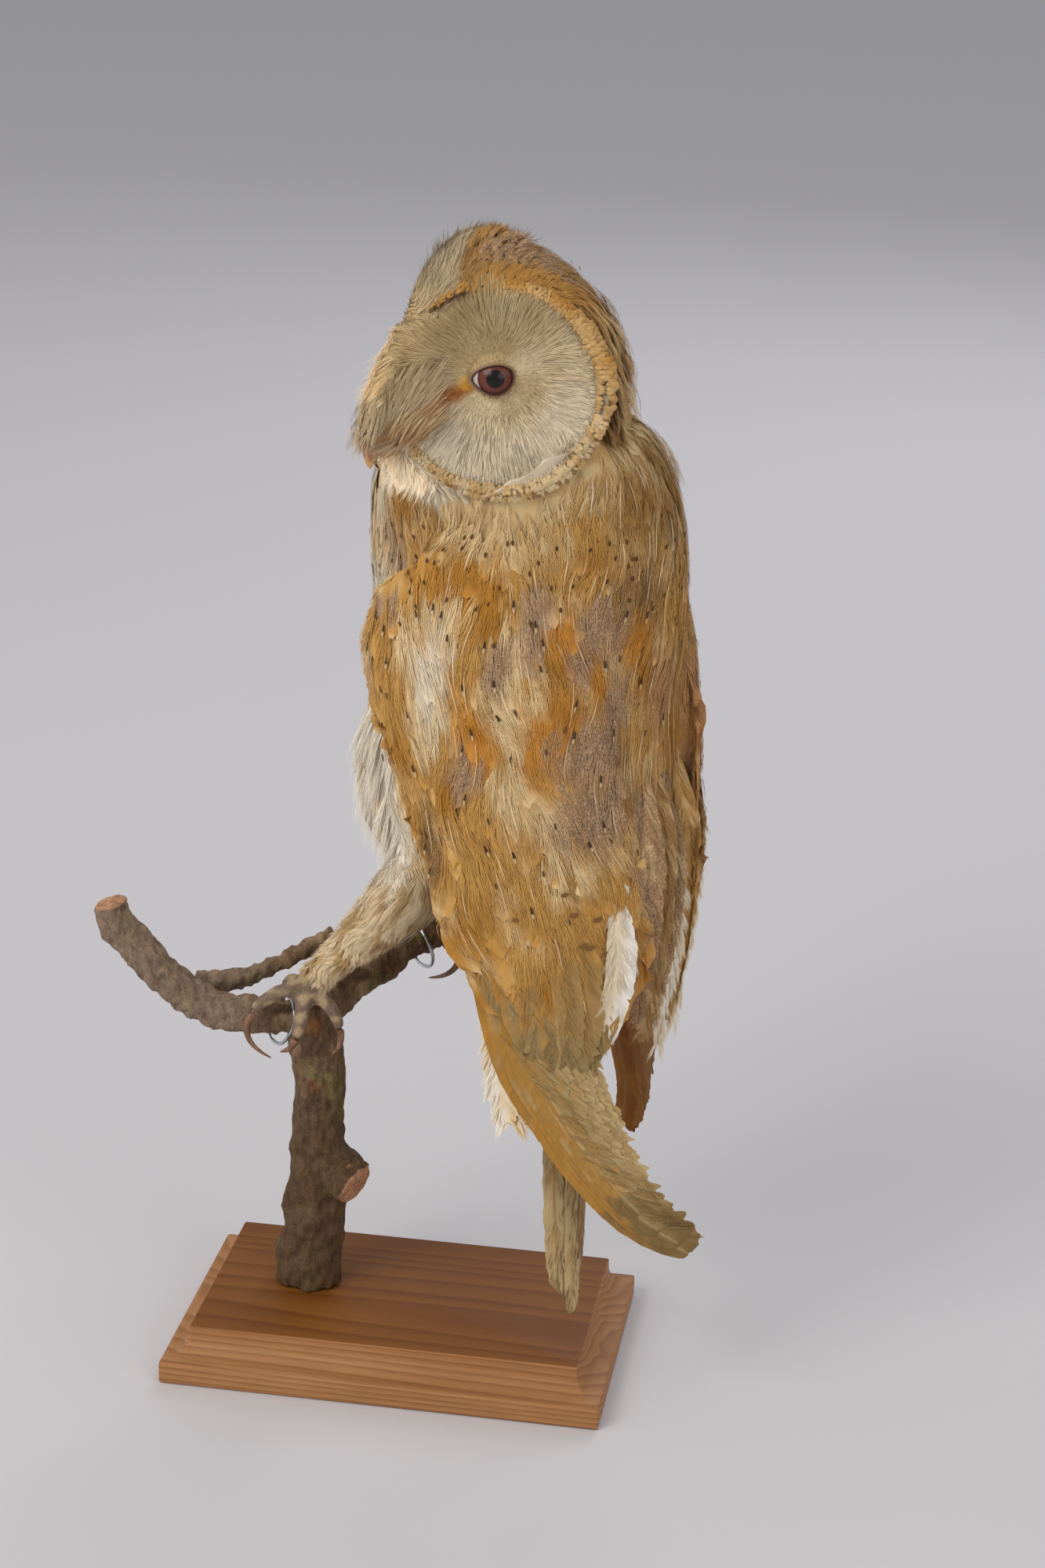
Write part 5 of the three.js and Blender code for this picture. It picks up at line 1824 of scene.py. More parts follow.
# The lids' rim from the eye outwards: share of its thickness, height, share of the pale colour.
LID_RIM = (
    (-0.1, -0.9, 0), (-0.05, 0.05, 0), (0.25, 0.42, 0), (0.6, 0.48, 0.1), (1.0, 0.25, 0.8), (1.5, 0.1, 1)
)


def add_lids(skin, name, material, coat):
    """Two lids in one ring with a dark rim, and short hairs on them."""
    surface = lid_surface(skin, name)
    place = eye_frame(name)
    around = 120
    angle = np.linspace(0, 2 * np.pi, around, endpoint=False)
    inner = opening_radius(angle)
    thick = 0.5 + 0.3 * np.clip(-np.sin(angle), 0, 1)
    rim, pale = srgb(58, 28, 22), srgb(150, 120, 88)
    loops, colours = [], []
    for out, lift, shade in LID_RIM:
        loops.append(surface(angle, inner + out * thick, lift))
        colours.append(plain(angle, mix(rim, pale, shade)))
    for share in (0.35, 0.55, 0.75, 0.9, 1.0, 1.12):
        radius = mix(inner + 1.5 * thick, LID_OUTER, share)
        loops.append(surface(angle, radius, -0.8 * smooth(0.9, 1.12, share)))
        colours.append(plain(angle, mix(pale, FACE_BUFF, smooth(0.3, 0.7, share))))
    faces = [face if name == "left" else face[::-1] for face in ring_quads(len(loops) - 1, around)]
    lid = make_object(f"eyelids_{name}", np.concatenate(loops), faces, material, np.concatenate(colours))
    claim(lid, "feathers_cream")

    count = LID_HAIRS
    angle = rng.uniform(0, 2 * np.pi, count)
    inner = opening_radius(angle)
    radius = mix(inner + 0.7, LID_OUTER, rng.random(count) ** 0.8)
    length = 1.2 + 3.2 * smooth(0, 3.0, radius - inner - 0.8)
    lines, normals, aheads = [], [], []
    for share in np.linspace(0, 1, 4):
        point = surface(angle, radius + length * share * 0.92, 0.05 + 0.9 * share * smooth(0.5, 4, length))
        lines.append(point)
        normals.append(np.tile(place.axes[:, 0], (count, 1)))
        aheads.append(place.direct(np.stack([0 * angle, np.cos(angle), np.sin(angle)], -1)))
    course = (np.stack(lines, 1), np.stack(normals, 1), np.stack(aheads, 1))
    colour = disc_marking(lines[-1], normals[-1])
    colour[:, :3] *= rng.normal(0.97, 0.08, (count, 1))
    add_locks(coat, course, skin.uv_near(lines[0]), colour, np.full(count, 0.7), 0.2, 2, lift=0.1)


# ------------------------------------------------------------------ bill, claws, branch, plinth and wire


ROUNDING_LEVELS = 2


def refined(node, new_name, material, slot):
    """A rounded copy of a CAD node, which takes the node's place."""
    shape = bmesh.new()
    shape.from_mesh(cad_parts[node].data)
    bmesh.ops.remove_doubles(shape, verts=shape.verts, dist=1e-6)
    bmesh.ops.join_triangles(shape, faces=shape.faces, angle_face_threshold=0.9, angle_shape_threshold=1.2)
    mesh = bpy.data.meshes.new(new_name)
    shape.to_mesh(mesh)
    shape.free()
    obj = bpy.data.objects.new(new_name, mesh)
    bpy.context.scene.collection.objects.link(obj)
    modifier = obj.modifiers.new("round", "SUBSURF")
    modifier.levels = modifier.render_levels = ROUNDING_LEVELS
    view = bpy.context.evaluated_depsgraph_get()
    smoothed = bpy.data.meshes.new_from_object(obj.evaluated_get(view))
    obj.modifiers.clear()
    obj.data = smoothed
    smoothed.materials.clear()
    smoothed.materials.append(material)
    smoothed.polygons.foreach_set("use_smooth", [True] * len(smoothed.polygons))
    claim(obj, slot, node)
    return obj


def paint_object(obj, colour_of):
    """Gives a mesh its tint from a function of its points and their normals."""
    points, triangles = mesh_arrays(obj.data)
    layer = obj.data.color_attributes.new("tint", "FLOAT_COLOR", "POINT")
    colours = colour_of(points, point_normals(points, triangles))
    layer.data.foreach_set("color", colours.astype(np.float32).ravel())


def bill_material():
    m = NodeMaterial("bill_horn")
    m.finish(None, 0.38, Specular_IOR_Level=0.5, Coat_Weight=0.25, Coat_Roughness=0.25)
    tint, _ = m.tint()
    streak = m.noise(m.place((1, 1, 0.35)), 1.1, 4.0, 0.6)
    colour = m.mix(0.35, tint, m.ramp(streak, (0.3, 0.28), (0.7, 0.72)), "OVERLAY")
    dots = m.node("ShaderNodeTexVoronoi")
    m.feed(m.place(), dots.inputs["Vector"])
    m.set(dots, Scale=620.0)
    m.colour(m.mix(m.ramp(dots.outputs["Distance"], (0.08, 0.8), (0.17, 0.0)), colour, srgb(110, 60, 36)))
    m.bump(streak, 0.3, 0.15)
    return m.material


def bill_marking(points, outward):
    local = HEAD.into(points)
    colour = plain(points, srgb(196, 140, 74))
    colour = mix(colour, rgba(srgb(214, 164, 98)), smooth(-14, -20, local[:, 2])[:, None] * 0.7)
    return blotches(colour, rgba(srgb(170, 104, 50)), points, 5, 71)


def claw_material():
    m = NodeMaterial("claw_horn")
    m.finish(None, 0.3, Specular_IOR_Level=0.5, Coat_Weight=0.3, Coat_Roughness=0.2)
    streak = m.noise(m.place((1, 1, 0.3)), 1.4, 4.0, 0.6)
    m.colour(m.ramp(streak, (0.30, srgb(76, 50, 36)), (0.50, srgb(120, 82, 56)), (0.72, srgb(160, 118, 84))))
    m.bump(streak, 0.3, 0.15)
    return m.material


def toe_material():
    """Bare toes: small scales over the tint."""
    m = NodeMaterial("toe_skin")
    m.finish(None, 0.6, Specular_IOR_Level=0.35)
    tint, _ = m.tint()
    scales = m.node("ShaderNodeTexVoronoi")
    m.feed(m.place(), scales.inputs["Vector"])
    m.set(scales, Scale=850.0)
    shade = m.ramp(scales.outputs["Distance"], (0.0, 0.62), (0.6, 0.36))
    m.colour(m.mix(0.6, tint, shade, "OVERLAY"))
    m.bump(shade, 0.7, 0.4)
    return m.material


BRANCH_NODES = [
    "branch_trunk", "branch_front_arm", "branch_side_twig", "branch_perch", "branch_rear_arm", "branch_stub"
]
# Ends sawn across: centre, direction out of the wood, radius.
CUTS = [
    (vec(-99.7, -12.6, 159.2), unit(vec(-0.2, -0.12, 1)), 7.5),
    (vec(-15.5, -5.2, 58.3), unit(vec(0.85, -0.42, -0.35)), 9.5),
    (vec(54, 46.8, 131), unit(vec(0.7, -0.15, 0.7)), 6),
    (vec(-75.2, 0.8, 127), unit(vec(-1, -0.2, 0)), 4),
]
# Scars: centre, radius, colour.
SCARS = [(vec(-30, -7.5, 117), 4.2, srgb(156, 108, 68)), (vec(-31, -6, 96), 3.0, srgb(122, 84, 54))]


def branch_material():
    m = NodeMaterial("bark")
    m.finish(None, 0.85, Specular_IOR_Level=0.25)
    tint, _ = m.tint()
    grain = m.noise(m.place((1, 1, 0.45)), 2.2, 5.0, 0.65, 0.5)
    fine = m.noise(m.place(), 0.7, 3.0, 0.6)
    colour = m.mix(1.0, tint, m.ramp(grain, (0.32, 0.50), (0.5, 0.92), (0.68, 1.18)), "MULTIPLY")
    colour = m.mix(1.0, colour, m.ramp(fine, (0.35, 0.78), (0.65, 1.1)), "MULTIPLY")
    m.colour(colour)
    m.bump(m.math("ADD", grain, m.math("MULTIPLY", fine, 0.4)), 0.9, 0.9)
    return m.material


BIRD_SHADE_FROM = -22  # from here on along X the perch's bark gets painted shade, darker and browner, where the bird shades it


def branch_marking(points, outward):
    colour = plain(points, srgb(128, 102, 76))
    colour = blotches(colour, rgba(srgb(160, 134, 104)), points, 14, 81, 0.1, 1.0)
    colour = blotches(colour, rgba(srgb(132, 120, 76)), points, 17, 82, 0.4, 1.1)
    colour = blotches(colour, rgba(srgb(104, 80, 60)), points, 9, 83, 0.3, 1.0)
    colour = laid(colour, 0.6 * smooth(-42, -60, points[:, 0]), srgb(150, 130, 112))
    colour = laid(colour, 0.85 * smooth(112, 70, points[:, 2]), srgb(92, 68, 46))
    # painted shade: the perch's bark under the bird is darkened towards brown
    colour = laid(colour, 0.6 * smooth(BIRD_SHADE_FROM, BIRD_SHADE_FROM + 16, points[:, 0]), srgb(88, 62, 38))
    for centre, radius, paint in SCARS:
        far = np.linalg.norm(points - centre, axis=1) + 0.8 * ripple(points, 2, 84)
        colour = laid(colour, smooth(radius, radius - 1, far), paint)
    for centre, out, radius in CUTS:
        away = points - centre
        on_face = smooth(0.55, 0.8, outward @ out) * smooth(radius + 1, radius, np.linalg.norm(away, axis=1))
        rings = 0.5 + 0.5 * np.sin(
            np.linalg.norm(away - np.outer(away @ out, out), axis=1) * 5 + ripple(points, 4, 85)
        )
        wood = mix(rgba(srgb(206, 158, 120)), rgba(srgb(182, 130, 96)), rings[:, None])
        colour = mix(colour, wood, on_face[:, None])
    return colour


BRANCH_VOXEL = 0.95
BRANCH_FOOT = 17.2  # the bark stays above this height, just inside the plinth's top


def add_branch(material):
    mesh = remeshed("branch", [grown_part(node) for node in BRANCH_NODES], BRANCH_VOXEL)
    points, triangles = mesh_arrays(mesh)
    edges = np.empty(len(mesh.edges) * 2, int)
    mesh.edges.foreach_get("vertices", edges)
    points = relax(points, edges.reshape(-1, 2), 0.5, 5)
    outward = point_normals(points, triangles)
    cut = np.zeros(len(points))
    for centre, out, radius in CUTS:
        near = smooth(
            radius + 1.5, radius, np.linalg.norm(points - centre, axis=1)
        ) * smooth(0.3, 0.8, outward @ out)
        cut = np.maximum(cut, near)
    stretched = points * vec(1.0, 1.0, 0.5)
    bumps = (
        0.55 * ripple(points, 13, 91) + 0.38 * ripple(stretched, 4.5, 92) + 0.26 * ripple(stretched, 2.4, 93)
    )
    ridge = -0.5 * smooth(0.75, 0.95, np.abs(ripple(stretched, 6, 94)))
    points = points + outward * ((bumps + ridge - 0.35) * (1 - 0.85 * cut))[:, None]
    points[:, 2] = np.maximum(points[:, 2], BRANCH_FOOT)
    mesh.vertices.foreach_set("co", (points * MM).ravel())
    mesh.polygons.foreach_set("use_smooth", [True] * len(mesh.polygons))
    mesh.materials.append(material)
    mesh.update()
    branch = bpy.data.objects.new("branch", mesh)
    bpy.context.scene.collection.objects.link(branch)
    paint_object(branch, branch_marking)
    claim(branch, "bark", *BRANCH_NODES)


def pine_material():
    """Varnished pine with its grain along the plinth, and painted shade on its top face."""
    m = NodeMaterial("pine")
    m.finish(None, 0.5, Specular_IOR_Level=0.14, Coat_Weight=0.02, Coat_Roughness=0.3)
    warp = m.noise(m.place((0.07, 1, 1)), 40, 2.0, 0.5)
    coordinates = m.node("ShaderNodeTexCoord").outputs["Object"]
    split = m.node("ShaderNodeSeparateXYZ")
    m.feed(coordinates, split.inputs[0])
    level = m.math(
        "ADD", m.math("MULTIPLY", split.outputs[1], 95.0), m.math("MULTIPLY", split.outputs[2], 420.0)
    )
    level = m.math("ADD", level, m.math("MULTIPLY", warp, 7.0))
    ring = m.math("FRACT", level)
    bands = m.ramp(
        ring, (0.0, srgb(189, 141, 94)), (0.5, srgb(179, 130, 84)), (0.84, srgb(162, 113, 71)),
        (1.0, srgb(187, 139, 92))
    )
    fibre = m.noise(m.place((0.05, 1, 1)), 0.9, 4.0, 0.6)
    colour = m.mix(1.0, bands, m.ramp(fibre, (0.3, 0.84), (0.7, 1.05)), "MULTIPLY")
    cloudy = m.noise(m.place((0.4, 1, 1)), 30, 2.0)
    colour = m.mix(m.math("MULTIPLY", cloudy, 0.5), colour, srgb(170, 118, 76), "MULTIPLY")
    # painted shade: the top face is darkened to a deeper brown than the sides, for the dim light its varnish
    # reflects
    top_painted_shade = m.ramp(m.math("MULTIPLY", split.outputs[2], 50.0), (0.885, 0.0), (0.9, 1.0))
    colour = m.mix(
        m.math("MULTIPLY", top_painted_shade, 0.9), colour, m.mix(1.0, colour, (0.47, 0.31, 0.05), "MULTIPLY")
    )
    m.colour(colour)
    m.rough(m.ramp(fibre, (0.3, 0.44), (0.7, 0.58)))
    m.bump(m.math("ADD", m.math("MULTIPLY", ring, 0.5), fibre), 0.25, 0.18)
    return m.material


PLINTH_HALF = (75.0, 48.0)
PLINTH_CORNER = 0.8  # radius of the upright corners
PLINTH_EASE = 0.9  # radius of the band's edges
BAND_TOP = 7.0  # where the band's upper edge begins to round
FOOT_INSET = 2.0
COVE_INSET, COVE_FOOT, COVE_DEPTH, COVE_RISE = 1.6, 8.2, 6.9, 7.1
PLATE_INSET, PLATE_FOOT, PLATE_EASE = 8.5, 17.3, 0.7
QUARTER_ROUND = np.radians([0, 22, 45, 68, 90])


def plinth_outline():
    """The plinth's moulding from its foot to its top, as rows of [inset, height]."""
    ease, edge = PLINTH_EASE, PLATE_EASE
    outline = [[FOOT_INSET, 0.0]]
    outline += [[ease - ease * math.sin(a), ease - ease * math.cos(a)] for a in QUARTER_ROUND]
    outline += [[ease - ease * math.cos(a), BAND_TOP + ease * math.sin(a)] for a in QUARTER_ROUND]
    for turn in np.linspace(0, 90, 13):
        a = math.radians(turn)
        outline.append([COVE_INSET + COVE_DEPTH * math.sin(a), COVE_FOOT + COVE_RISE * (1 - math.cos(a))])
    outline += [
        [PLATE_INSET + edge - edge * math.cos(a), PLATE_FOOT + edge * math.sin(a)] for a in QUARTER_ROUND
    ]
    return outline


def add_plinth(material):
    """The moulded block: eased edges, a plain band, a hollow and the top plate."""
    outline = plinth_outline()
    points, corners = [], 4
    for inset, height in outline:
        half_x, half_y = (half - inset - PLINTH_CORNER for half in PLINTH_HALF)
        for quarter, (sign_x, sign_y) in enumerate(((1, 1), (-1, 1), (-1, -1), (1, -1))):
            for k in range(corners + 1):
                a = math.pi / 2 * (quarter + k / corners)
                x = sign_x * half_x + PLINTH_CORNER * math.cos(a)
                y = sign_y * half_y + PLINTH_CORNER * math.sin(a)
                points.append([x, y, height])
    loop = 4 * (corners + 1)
    faces = [quad[:1] + quad[:0:-1] for quad in ring_quads(len(outline) - 1, loop)]
    faces.append(list(range(loop))[::-1])
    faces.append([(len(outline) - 1) * loop + j for j in range(loop)])
    plinth = make_object("plinth_block", points, faces, material)
    plinth.data.set_sharp_from_angle(angle=math.radians(35))
    claim(plinth, "pine", "plinth")


def steel_material():
    m = NodeMaterial("steel_wire")
    m.finish(None, 0.28, Metallic=1.0)
    scratch = m.noise(m.place((1, 1, 0.2)), 0.6, 3.0, 0.6)
    m.colour(m.ramp(scratch, (0.3, srgb(150, 154, 158)), (0.7, srgb(206, 210, 214))))
    m.rough(m.ramp(scratch, (0.3, 0.22), (0.7, 0.40)))
    return m.material


RINGS = {
    "left": (vec(-43, -5.4, 119), unit(vec(-0.74, -0.62, 0.28))),
    "right": (vec(-3.2, 31, 135.2), unit(vec(0.7, 0.66, 0.26))),
}
RING_RADIUS = 8.6
WIRE_RADIUS = 0.6


def add_ring(name, material):
    centre, normal = RINGS[name]
    first = unit(np.cross(normal, UP))
    second = np.cross(normal, first)
    around, section = 72, 12
    points = []
    for i in range(around):
        a = 2 * math.pi * i / around
        out = first * math.cos(a) + second * math.sin(a)
        wave = 0.12 * math.sin(3 * a) + 0.08 * math.sin(5 * a + 1)
        for j in range(section):
            b = 2 * math.pi * j / section
            reach = RING_RADIUS - 0.15 + WIRE_RADIUS * math.cos(b)
            points.append(centre + out * reach + normal * (wave + WIRE_RADIUS * math.sin(b)))
    faces = [[corner % len(points) for corner in quad] for quad in ring_quads(around, section)]
    ring = make_object(f"wire_loop_{name}", points, faces, material)
    claim(ring, "wire", f"wire_ring_{name}")


# ------------------------------------------------------------------ ruff round the face

# Rows of the ruff: distance beyond the face's hair, length, width, height over the rim,
# share of the outer colour.
RUFF_ROWS = [
    (-0.8, 2.2, 1.5, -0.2, 0.0), (0.0, 2.3, 1.6, 0.5, 0.0), (0.8, 2.4, 1.7, 1.2, 0.15),
    (1.6, 2.5, 1.8, 1.7, 0.3), (2.4, 2.5, 1.8, 2.0, 0.5), (3.2, 2.6, 1.9, 2.0, 0.7),
    (4.0, 2.7, 1.9, 1.7, 0.85), (4.8, 2.8, 2.0, 1.1, 1.0), (5.4, 2.9, 2.0, 0.3, 1.0),
    (5.7, 2.9, 2.2, -0.7, 1.0), (5.8, 3.2, 2.4, -1.8, 1.0), (5.6, 3.4, 2.6, -3.0, 1.0),
]


RUFF_OVERLAP = 0.52  # step between feathers of a row, as a share of their width
RUFF_TO_FAR = 70  # the far dish's ruff ends sooner than RUFF_TO
RUFF_CLEARANCE = 2.4  # the ruff's height over the coat of the neck


def add_ruff(skin, coat, name):
    """The rolled rim of small stiff feathers round a dish."""
    sign = SIDES[name]
    disc_out = DISC[name].direct(vec(1, 0, 0))
    for k, (beyond, size, broad, rise, shade) in enumerate(RUFF_ROWS):
        turn = np.radians(np.arange(
            RUFF_FROM, RUFF_TO if name == "left" else RUFF_TO_FAR,
            math.degrees(RUFF_OVERLAP * broad / DISC_HALF_HEIGHT)
        ))
        turn = turn + rng.normal(0, 0.012, len(turn))
        reach = hair_edge(np.degrees(turn))
        local = np.stack([np.full(len(turn), 1.0), sign * DISC_HALF_WIDTH * reach * np.cos(turn),
                          DISC_HALF_HEIGHT * reach * np.sin(turn)], 1)
        hits = [
            skin.tree.ray_cast(Vector(p), Vector(-disc_out), 60)
            for p in DISC[name].out(local + vec(30, 0, 0))
        ]
        met = np.array([hit[0] is not None for hit in hits])
        place = np.array([hit[0] for hit in hits if hit[0] is not None])
        index = np.array([hit[2] for hit in hits if hit[0] is not None])
        turn = turn[met]
        close = np.abs(DISC[name].into(place)[:, 0] - 1) < 8
        place, turn, index = place[close], turn[close], index[close]
        count = len(turn)
        roots = skin.uv[index].mean(axis=1)
        radial = DISC[name].direct(np.stack([0 * turn, sign * np.cos(turn), np.sin(turn)], 1))
        low = smooth(0.1, -0.55, np.sin(turn))
        top = smooth(0.45, 0.98, np.sin(turn))
        front = smooth(-0.2, -0.8, np.cos(turn)) * low
        scale = (1 - 0.22 * low - 0.3 * front) * (1 - 0.4 * top)
        away = (0.76 * beyond * scale + rng.normal(0, 0.22, count))[:, None]
        high = (0.85 * rise * scale + rng.normal(0, 0.15, count))[:, None]
        base = place + radial * away + disc_out * high
        slope = mix(0.75, -1.2, k / (len(RUFF_ROWS) - 1))
        ahead = unit(radial + disc_out * (slope + rng.normal(0, 0.08, (count, 1))))
        normal = unit(disc_out - radial * slope * 0.8)
        normal = unit(normal - ahead * (normal * ahead).sum(axis=1, keepdims=True))
        steps = np.linspace(0, 1, 4)
        long = size * scale * rng.uniform(0.85, 1.15, count)
        line = base[:, None] + ahead[:, None] * (steps * long[:, None])[:, :, None]
        line = line + normal[:, None] * (0.35 * np.sin(np.pi * steps))[None, :, None]
        if k >= 1:
            below, out_of = skin.snap(line[:, 2])
            height = ((line[:, 2] - below) * out_of).sum(axis=1)
            push = np.clip(RUFF_CLEARANCE - height, 0, 4.5) / np.maximum((out_of * disc_out).sum(axis=1), 0.5)
            push *= smooth(0.35, -0.1, np.sin(turn)) * smooth(-0.5, 2, k)
            line = line + disc_out * push[:, None, None]
            rooted = np.linalg.norm(line[:, 0] - skin.snap(line[:, 0])[0], axis=1) < 5.0
            line, normal, ahead, place, turn, low, scale, roots = (
                part[rooted] for part in (line, normal, ahead, place, turn, low, scale, roots)
            )
            count = len(line)
        normals, aheads = (np.repeat(part[:, None], 4, axis=1) for part in (normal, ahead))
        upper = blotches(plain(place, mix(GOLD, CREAM, 0.2)), rgba(mix(GOLD, DEEP_GOLD, 0.7)), place, 9, 95)
        lower = blotches(plain(place, mix(CREAM, WHITE, 0.2)), rgba(mix(CREAM, GOLD, 0.5)), place, 6, 96)
        colour = mix(upper, lower, smooth(0.25, -0.45, np.sin(turn) + 0.1 * np.cos(turn))[:, None])
        colour = mix(colour, rgba(mix(CREAM, GOLD, 0.35)), 0.55 * (1 - shade))
        # painted shadow and own colour: the two inner rows get dark flecks on the upper part of the rim, for
        # the shadow line under the raised rim and for the dark tips there
        if k < 2:
            dark = smooth(0.15, 0.5, np.sin(turn)) * smooth(1.0, 0.8, np.sin(turn)) * rng.random(count)
            colour = laid(colour, 0.9 * dark, srgb(96, 72, 50))
        if k in (8, 9):
            flecks = (low > 0.3) & (rng.random(count) < 0.4)
            colour[flecks] = mix(colour[flecks], rgba(srgb(140, 86, 40)), 0.75)
        colour[:, :3] *= rng.normal(1, 0.07, (count, 1))

        def paint(along, out):
            return colour * np.append(np.repeat(0.80 + 0.22 * along, 3), 1)

        add_vanes(
            coat, (line, normals, aheads), roots, paint, 0.85 * broad * scale, rows=5, columns=5, camber=0.16
        )


# ------------------------------------------------------------------ drop marks


def on_shoulders(place):
    return (place[:, 2] > 264) & (place[:, 2] < 302) & (place[:, 1] < 0)


def on_back(place):
    return (place[:, 2] > 176) & (place[:, 2] < 266)


def on_crown(place):
    local = HEAD.into(place)
    return (local[:, 1] > 8) & (local[:, 2] > 20)


def every_other(place):
    return 0.5


def more_above(place):
    return smooth(262, 284, place[:, 2]) * 0.75


# Strewn dots: zones, spacing, where, chance of each, lie of the coat, length, width, colour, height.
DOTS = [
    (["body", "wing"], 6.4, on_shoulders, more_above, body_flow, 1.7, 0.9, srgb(92, 62, 36), 2.85),
    (["body", "wing"], 12, on_back, every_other, body_flow, 2.4, 0.8, srgb(104, 76, 50), 2.85),
    (["head"], 4.2, on_crown, every_other, head_flow, 1.2, 0.55, srgb(84, 60, 46), 2.9),
]


def add_drops(skin, coat):
    """Dark drops with white tips on the back, the brown ends of bars, and small dark dots."""
    for places, length, width, dark, white_tip, height in (
        (DROPS, 4.3, 0.9, srgb(72, 52, 38), True, 3.0),
        (BARS, 1.7, 3.0, srgb(132, 96, 56), False, 3.3),
    ):
        place, outward = skin.snap(np.array(places, float))
        flow = body_flow(place, outward)
        add_marks(coat, place, outward, flow, skin.uv_near(place), length, width, dark, white_tip, height)
    for zones, spacing, where, chance, flow, length, width, dark, height in DOTS:
        place, outward, roots = skin.scatter(zones, spacing, where)
        keep = rng.random(len(place)) < chance(place)
        place, outward, roots = place[keep], outward[keep], roots[keep]
        add_marks(coat, place, outward, flow(place, outward), roots, length, width, dark, False, height)


def add_marks(coat, place, outward, flow, roots, length, width, dark, white_tip, height):
    count = len(place)
    steps = 6
    share = np.linspace(0, 1, steps + 1)
    line = place[:, None] + outward[:, None] * height + flow[:, None] * (share * length)[None, :, None]
    size = rng.uniform(0.8, 1.2, count)
    side = np.cross(outward, flow)
    outline = np.sqrt(np.clip(np.sin(np.pi * np.clip(share, 0.02, 0.99)), 0, 1)) * (
        0.75 + 0.35 * np.sin(3 * np.pi * share) ** 2
    )
    points, colours = [], []
    for i, t in enumerate(share):
        colour = srgb(208, 180, 138) if white_tip and t > 0.6 else dark
        for across in (-1, 0, 1):
            half = side * (size * width / 2 * outline[i] * across)[:, None]
            points.append(line[:, i] + half - outward * (0.12 * abs(across) + 0.25 * t * (not white_tip)))
            colours.append(plain(place, colour))
    faces, local = vane_grid(steps + 1, 3)
    coat.add(np.stack(points, 1), faces, np.stack(colours, 1), local, roots)


# ------------------------------------------------------------------ assembly

FLESH_NODES = [node for group in FLESH.values() for node in group]
BODY_TOP = 174  # below this the flight feathers show


def above_flight(place):
    far = 30 * smooth(-10, 10, place[:, 1]) * smooth(60, 75, place[:, 0])
    near_wing = smooth(42, 56, place[:, 0]) * smooth(81, 74, place[:, 0]) * smooth(-20, -30, place[:, 1])
    far = np.maximum(far, 15 * near_wing)
    edge = (place[:, 0] > 90.5) & (place[:, 2] < 192)
    return ((place[:, 2] > BODY_TOP - far + 8 * ripple(place, 13, 97)) | (place[:, 0] < 22)) & ~edge


def add_skin(plumage):
    skin = Skin()
    paint = skin_colours(skin)
    layer = skin.obj.data.color_attributes.new("tint", "FLOAT_COLOR", "POINT")
    layer.data.foreach_set("color", paint.astype(np.float32).ravel())
    skin.obj.data.materials.append(plumage)
    skin.obj.data.materials.append(toe_material())
    on_toe = skin.point_zone == ZONES.index("toe")
    corner = np.empty(len(skin.obj.data.polygons), int)
    skin.obj.data.polygons.foreach_get("loop_start", corner)
    vertex = np.empty(len(skin.obj.data.loops), int)
    skin.obj.data.loops.foreach_get("vertex_index", vertex)
    skin.obj.data.polygons.foreach_set("material_index", on_toe[vertex[corner]].astype(int))
    claim(skin.obj, "feathers_cream", *FLESH_NODES)
    return skin


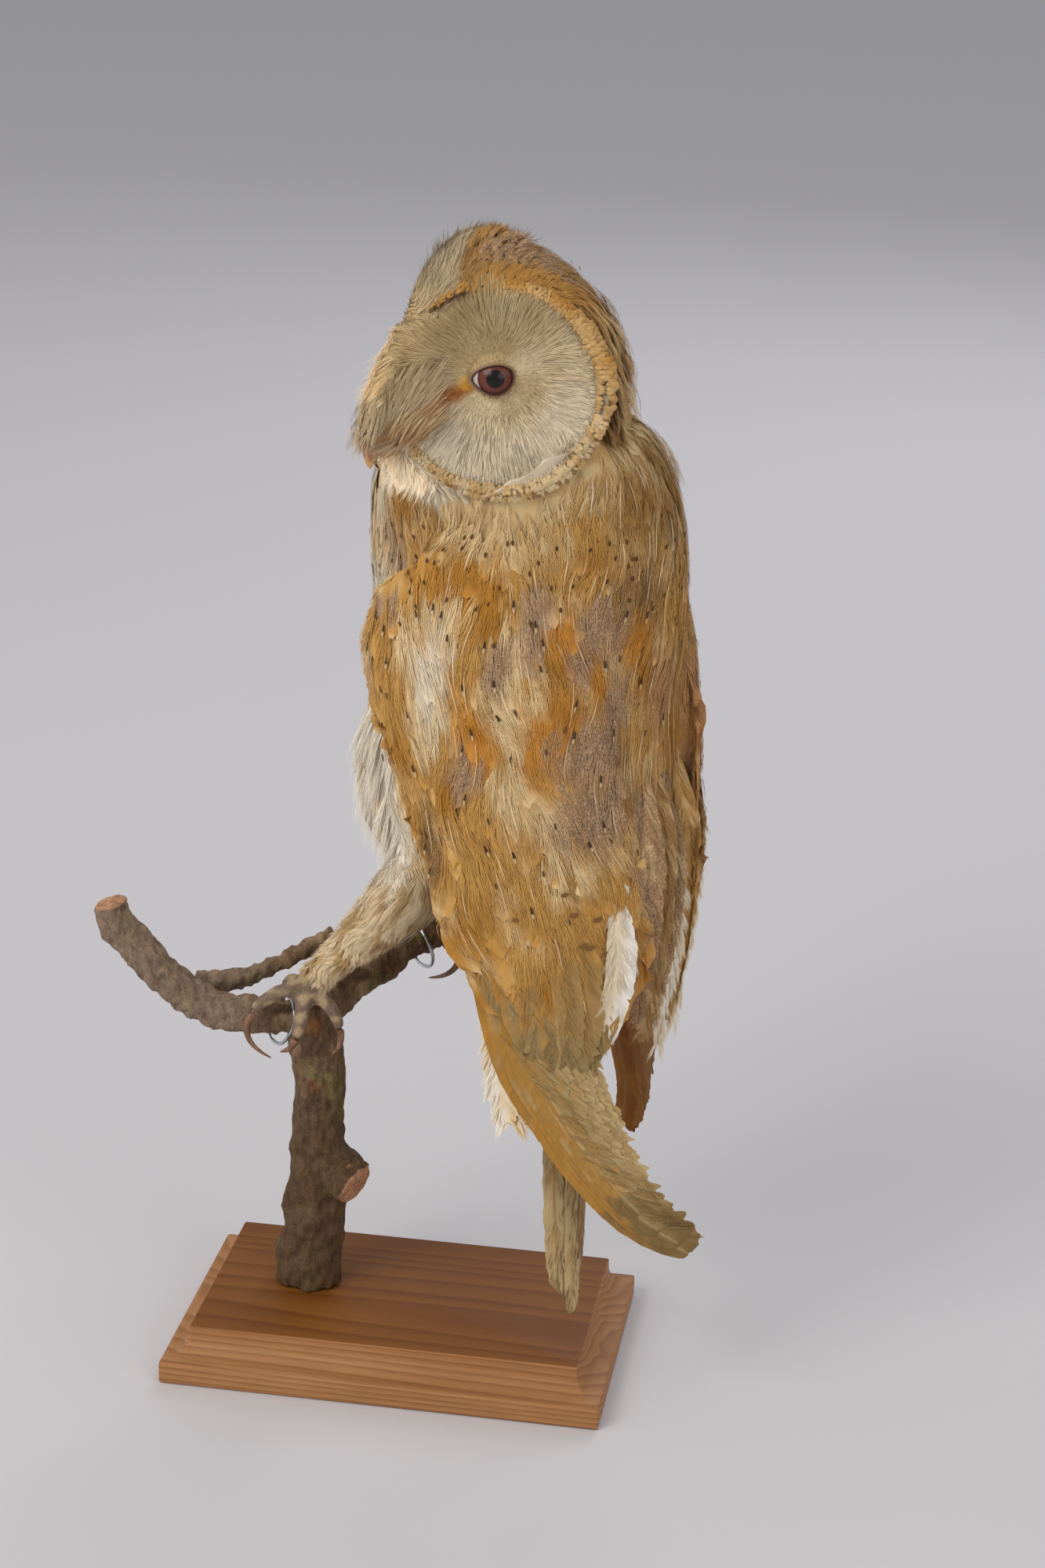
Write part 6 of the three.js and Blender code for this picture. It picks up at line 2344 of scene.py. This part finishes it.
def add_plumage(skin, plumage, vanes):
    """The coat and the eyes, in the order of the random draws."""
    for side, keep in (("near", split_near_far), ("far", lambda p: ~split_near_far(p))):
        coverts = Coat(f"coverts_{side}", vanes, "feathers_golden")
        add_body_coverts(skin, coverts, lambda p: keep(p) & above_flight(p) & clear_of_ruff(p, 1.27))
        coverts.make()
        down = Coat(f"soft_barbs_{side}", plumage, "feathers_golden")
        add_body_locks(skin, down, lambda p: keep(p) & above_flight(p) & clear_of_ruff(p, 1.0))
        down.make()
    head = Coat("head_feathers", plumage, "feathers_golden")
    add_head_coat(skin, head)
    add_nape(skin, head)
    head.make()
    face = Coat("face_feathers", plumage, "feathers_cream")
    add_disc_hair(skin, face)
    hair = Coat("brow_hair", plumage, "feathers_cream")
    add_ridge_hair(skin, hair)
    add_bill_bristles(skin, hair)
    add_bill_veil(skin, hair)
    add_far_rim(skin, hair)
    hair.make()
    lids = NodeMaterial("lid_skin").finish(None, 0.5)
    lids.colour(lids.tint()[0])
    glass = eye_material()
    for name in SIDES:
        add_eyeball(name, glass)
        add_lids(skin, name, lids.material, face)
    face.make()
    ruff = Coat("ruff", vanes, "feathers_golden")
    for name in SIDES:
        add_ruff(skin, ruff, name)
    ruff.make()
    marks = Coat("drop_marks", plumage, "feathers_golden")
    add_drops(skin, marks)
    marks.make()
    legs = Coat("leg_feathers", plumage, "leg_down")
    add_leg_coat(skin, legs)
    legs.make()
    belly = Coat("belly_tufts", plumage, "feathers_cream")
    add_belly_tufts(skin, belly)
    belly.make()


def add_flights(plumage, vanes):
    for name, add_flight, slot, replaced in (
        ("flight_left", add_left_flight, "feathers_golden", ["primaries_left"]),
        ("flight_right", add_right_flight, "feathers_golden", ["primaries_right"]),
        ("tertials", add_tertials, "feathers_golden", []),
        ("tail", add_tail, "feathers_cream", ["tail", "undertail"]),
    ):
        plumes, down = Coat(f"{name}_feathers", vanes, slot), Coat(f"{name}_down", plumage, slot)
        add_flight(plumes, down)
        plumes.make(*replaced)
        down.make()


def add_hard_parts():
    bill, claw = bill_material(), claw_material()
    for node in ("bill_upper", "bill_lower"):
        paint_object(refined(node, f"{node}_horn", bill, "bill_horn"), bill_marking)
    for side in SIDES:
        for toe in ("inner", "middle", "outer", "hind"):
            refined(f"claw_{side}_{toe}", f"talon_{side}_{toe}", claw, "claw_horn")
    add_branch(branch_material())
    add_plinth(pine_material())
    steel = steel_material()
    for name in RINGS:
        add_ring(name, steel)


def main():
    add_camera()
    add_stage()
    plumage, vanes = feather_material("plumage"), vane_material("vanes")
    skin = add_skin(plumage)
    add_plumage(skin, plumage, vanes)
    add_flights(plumage, vanes)
    add_hard_parts()


main()
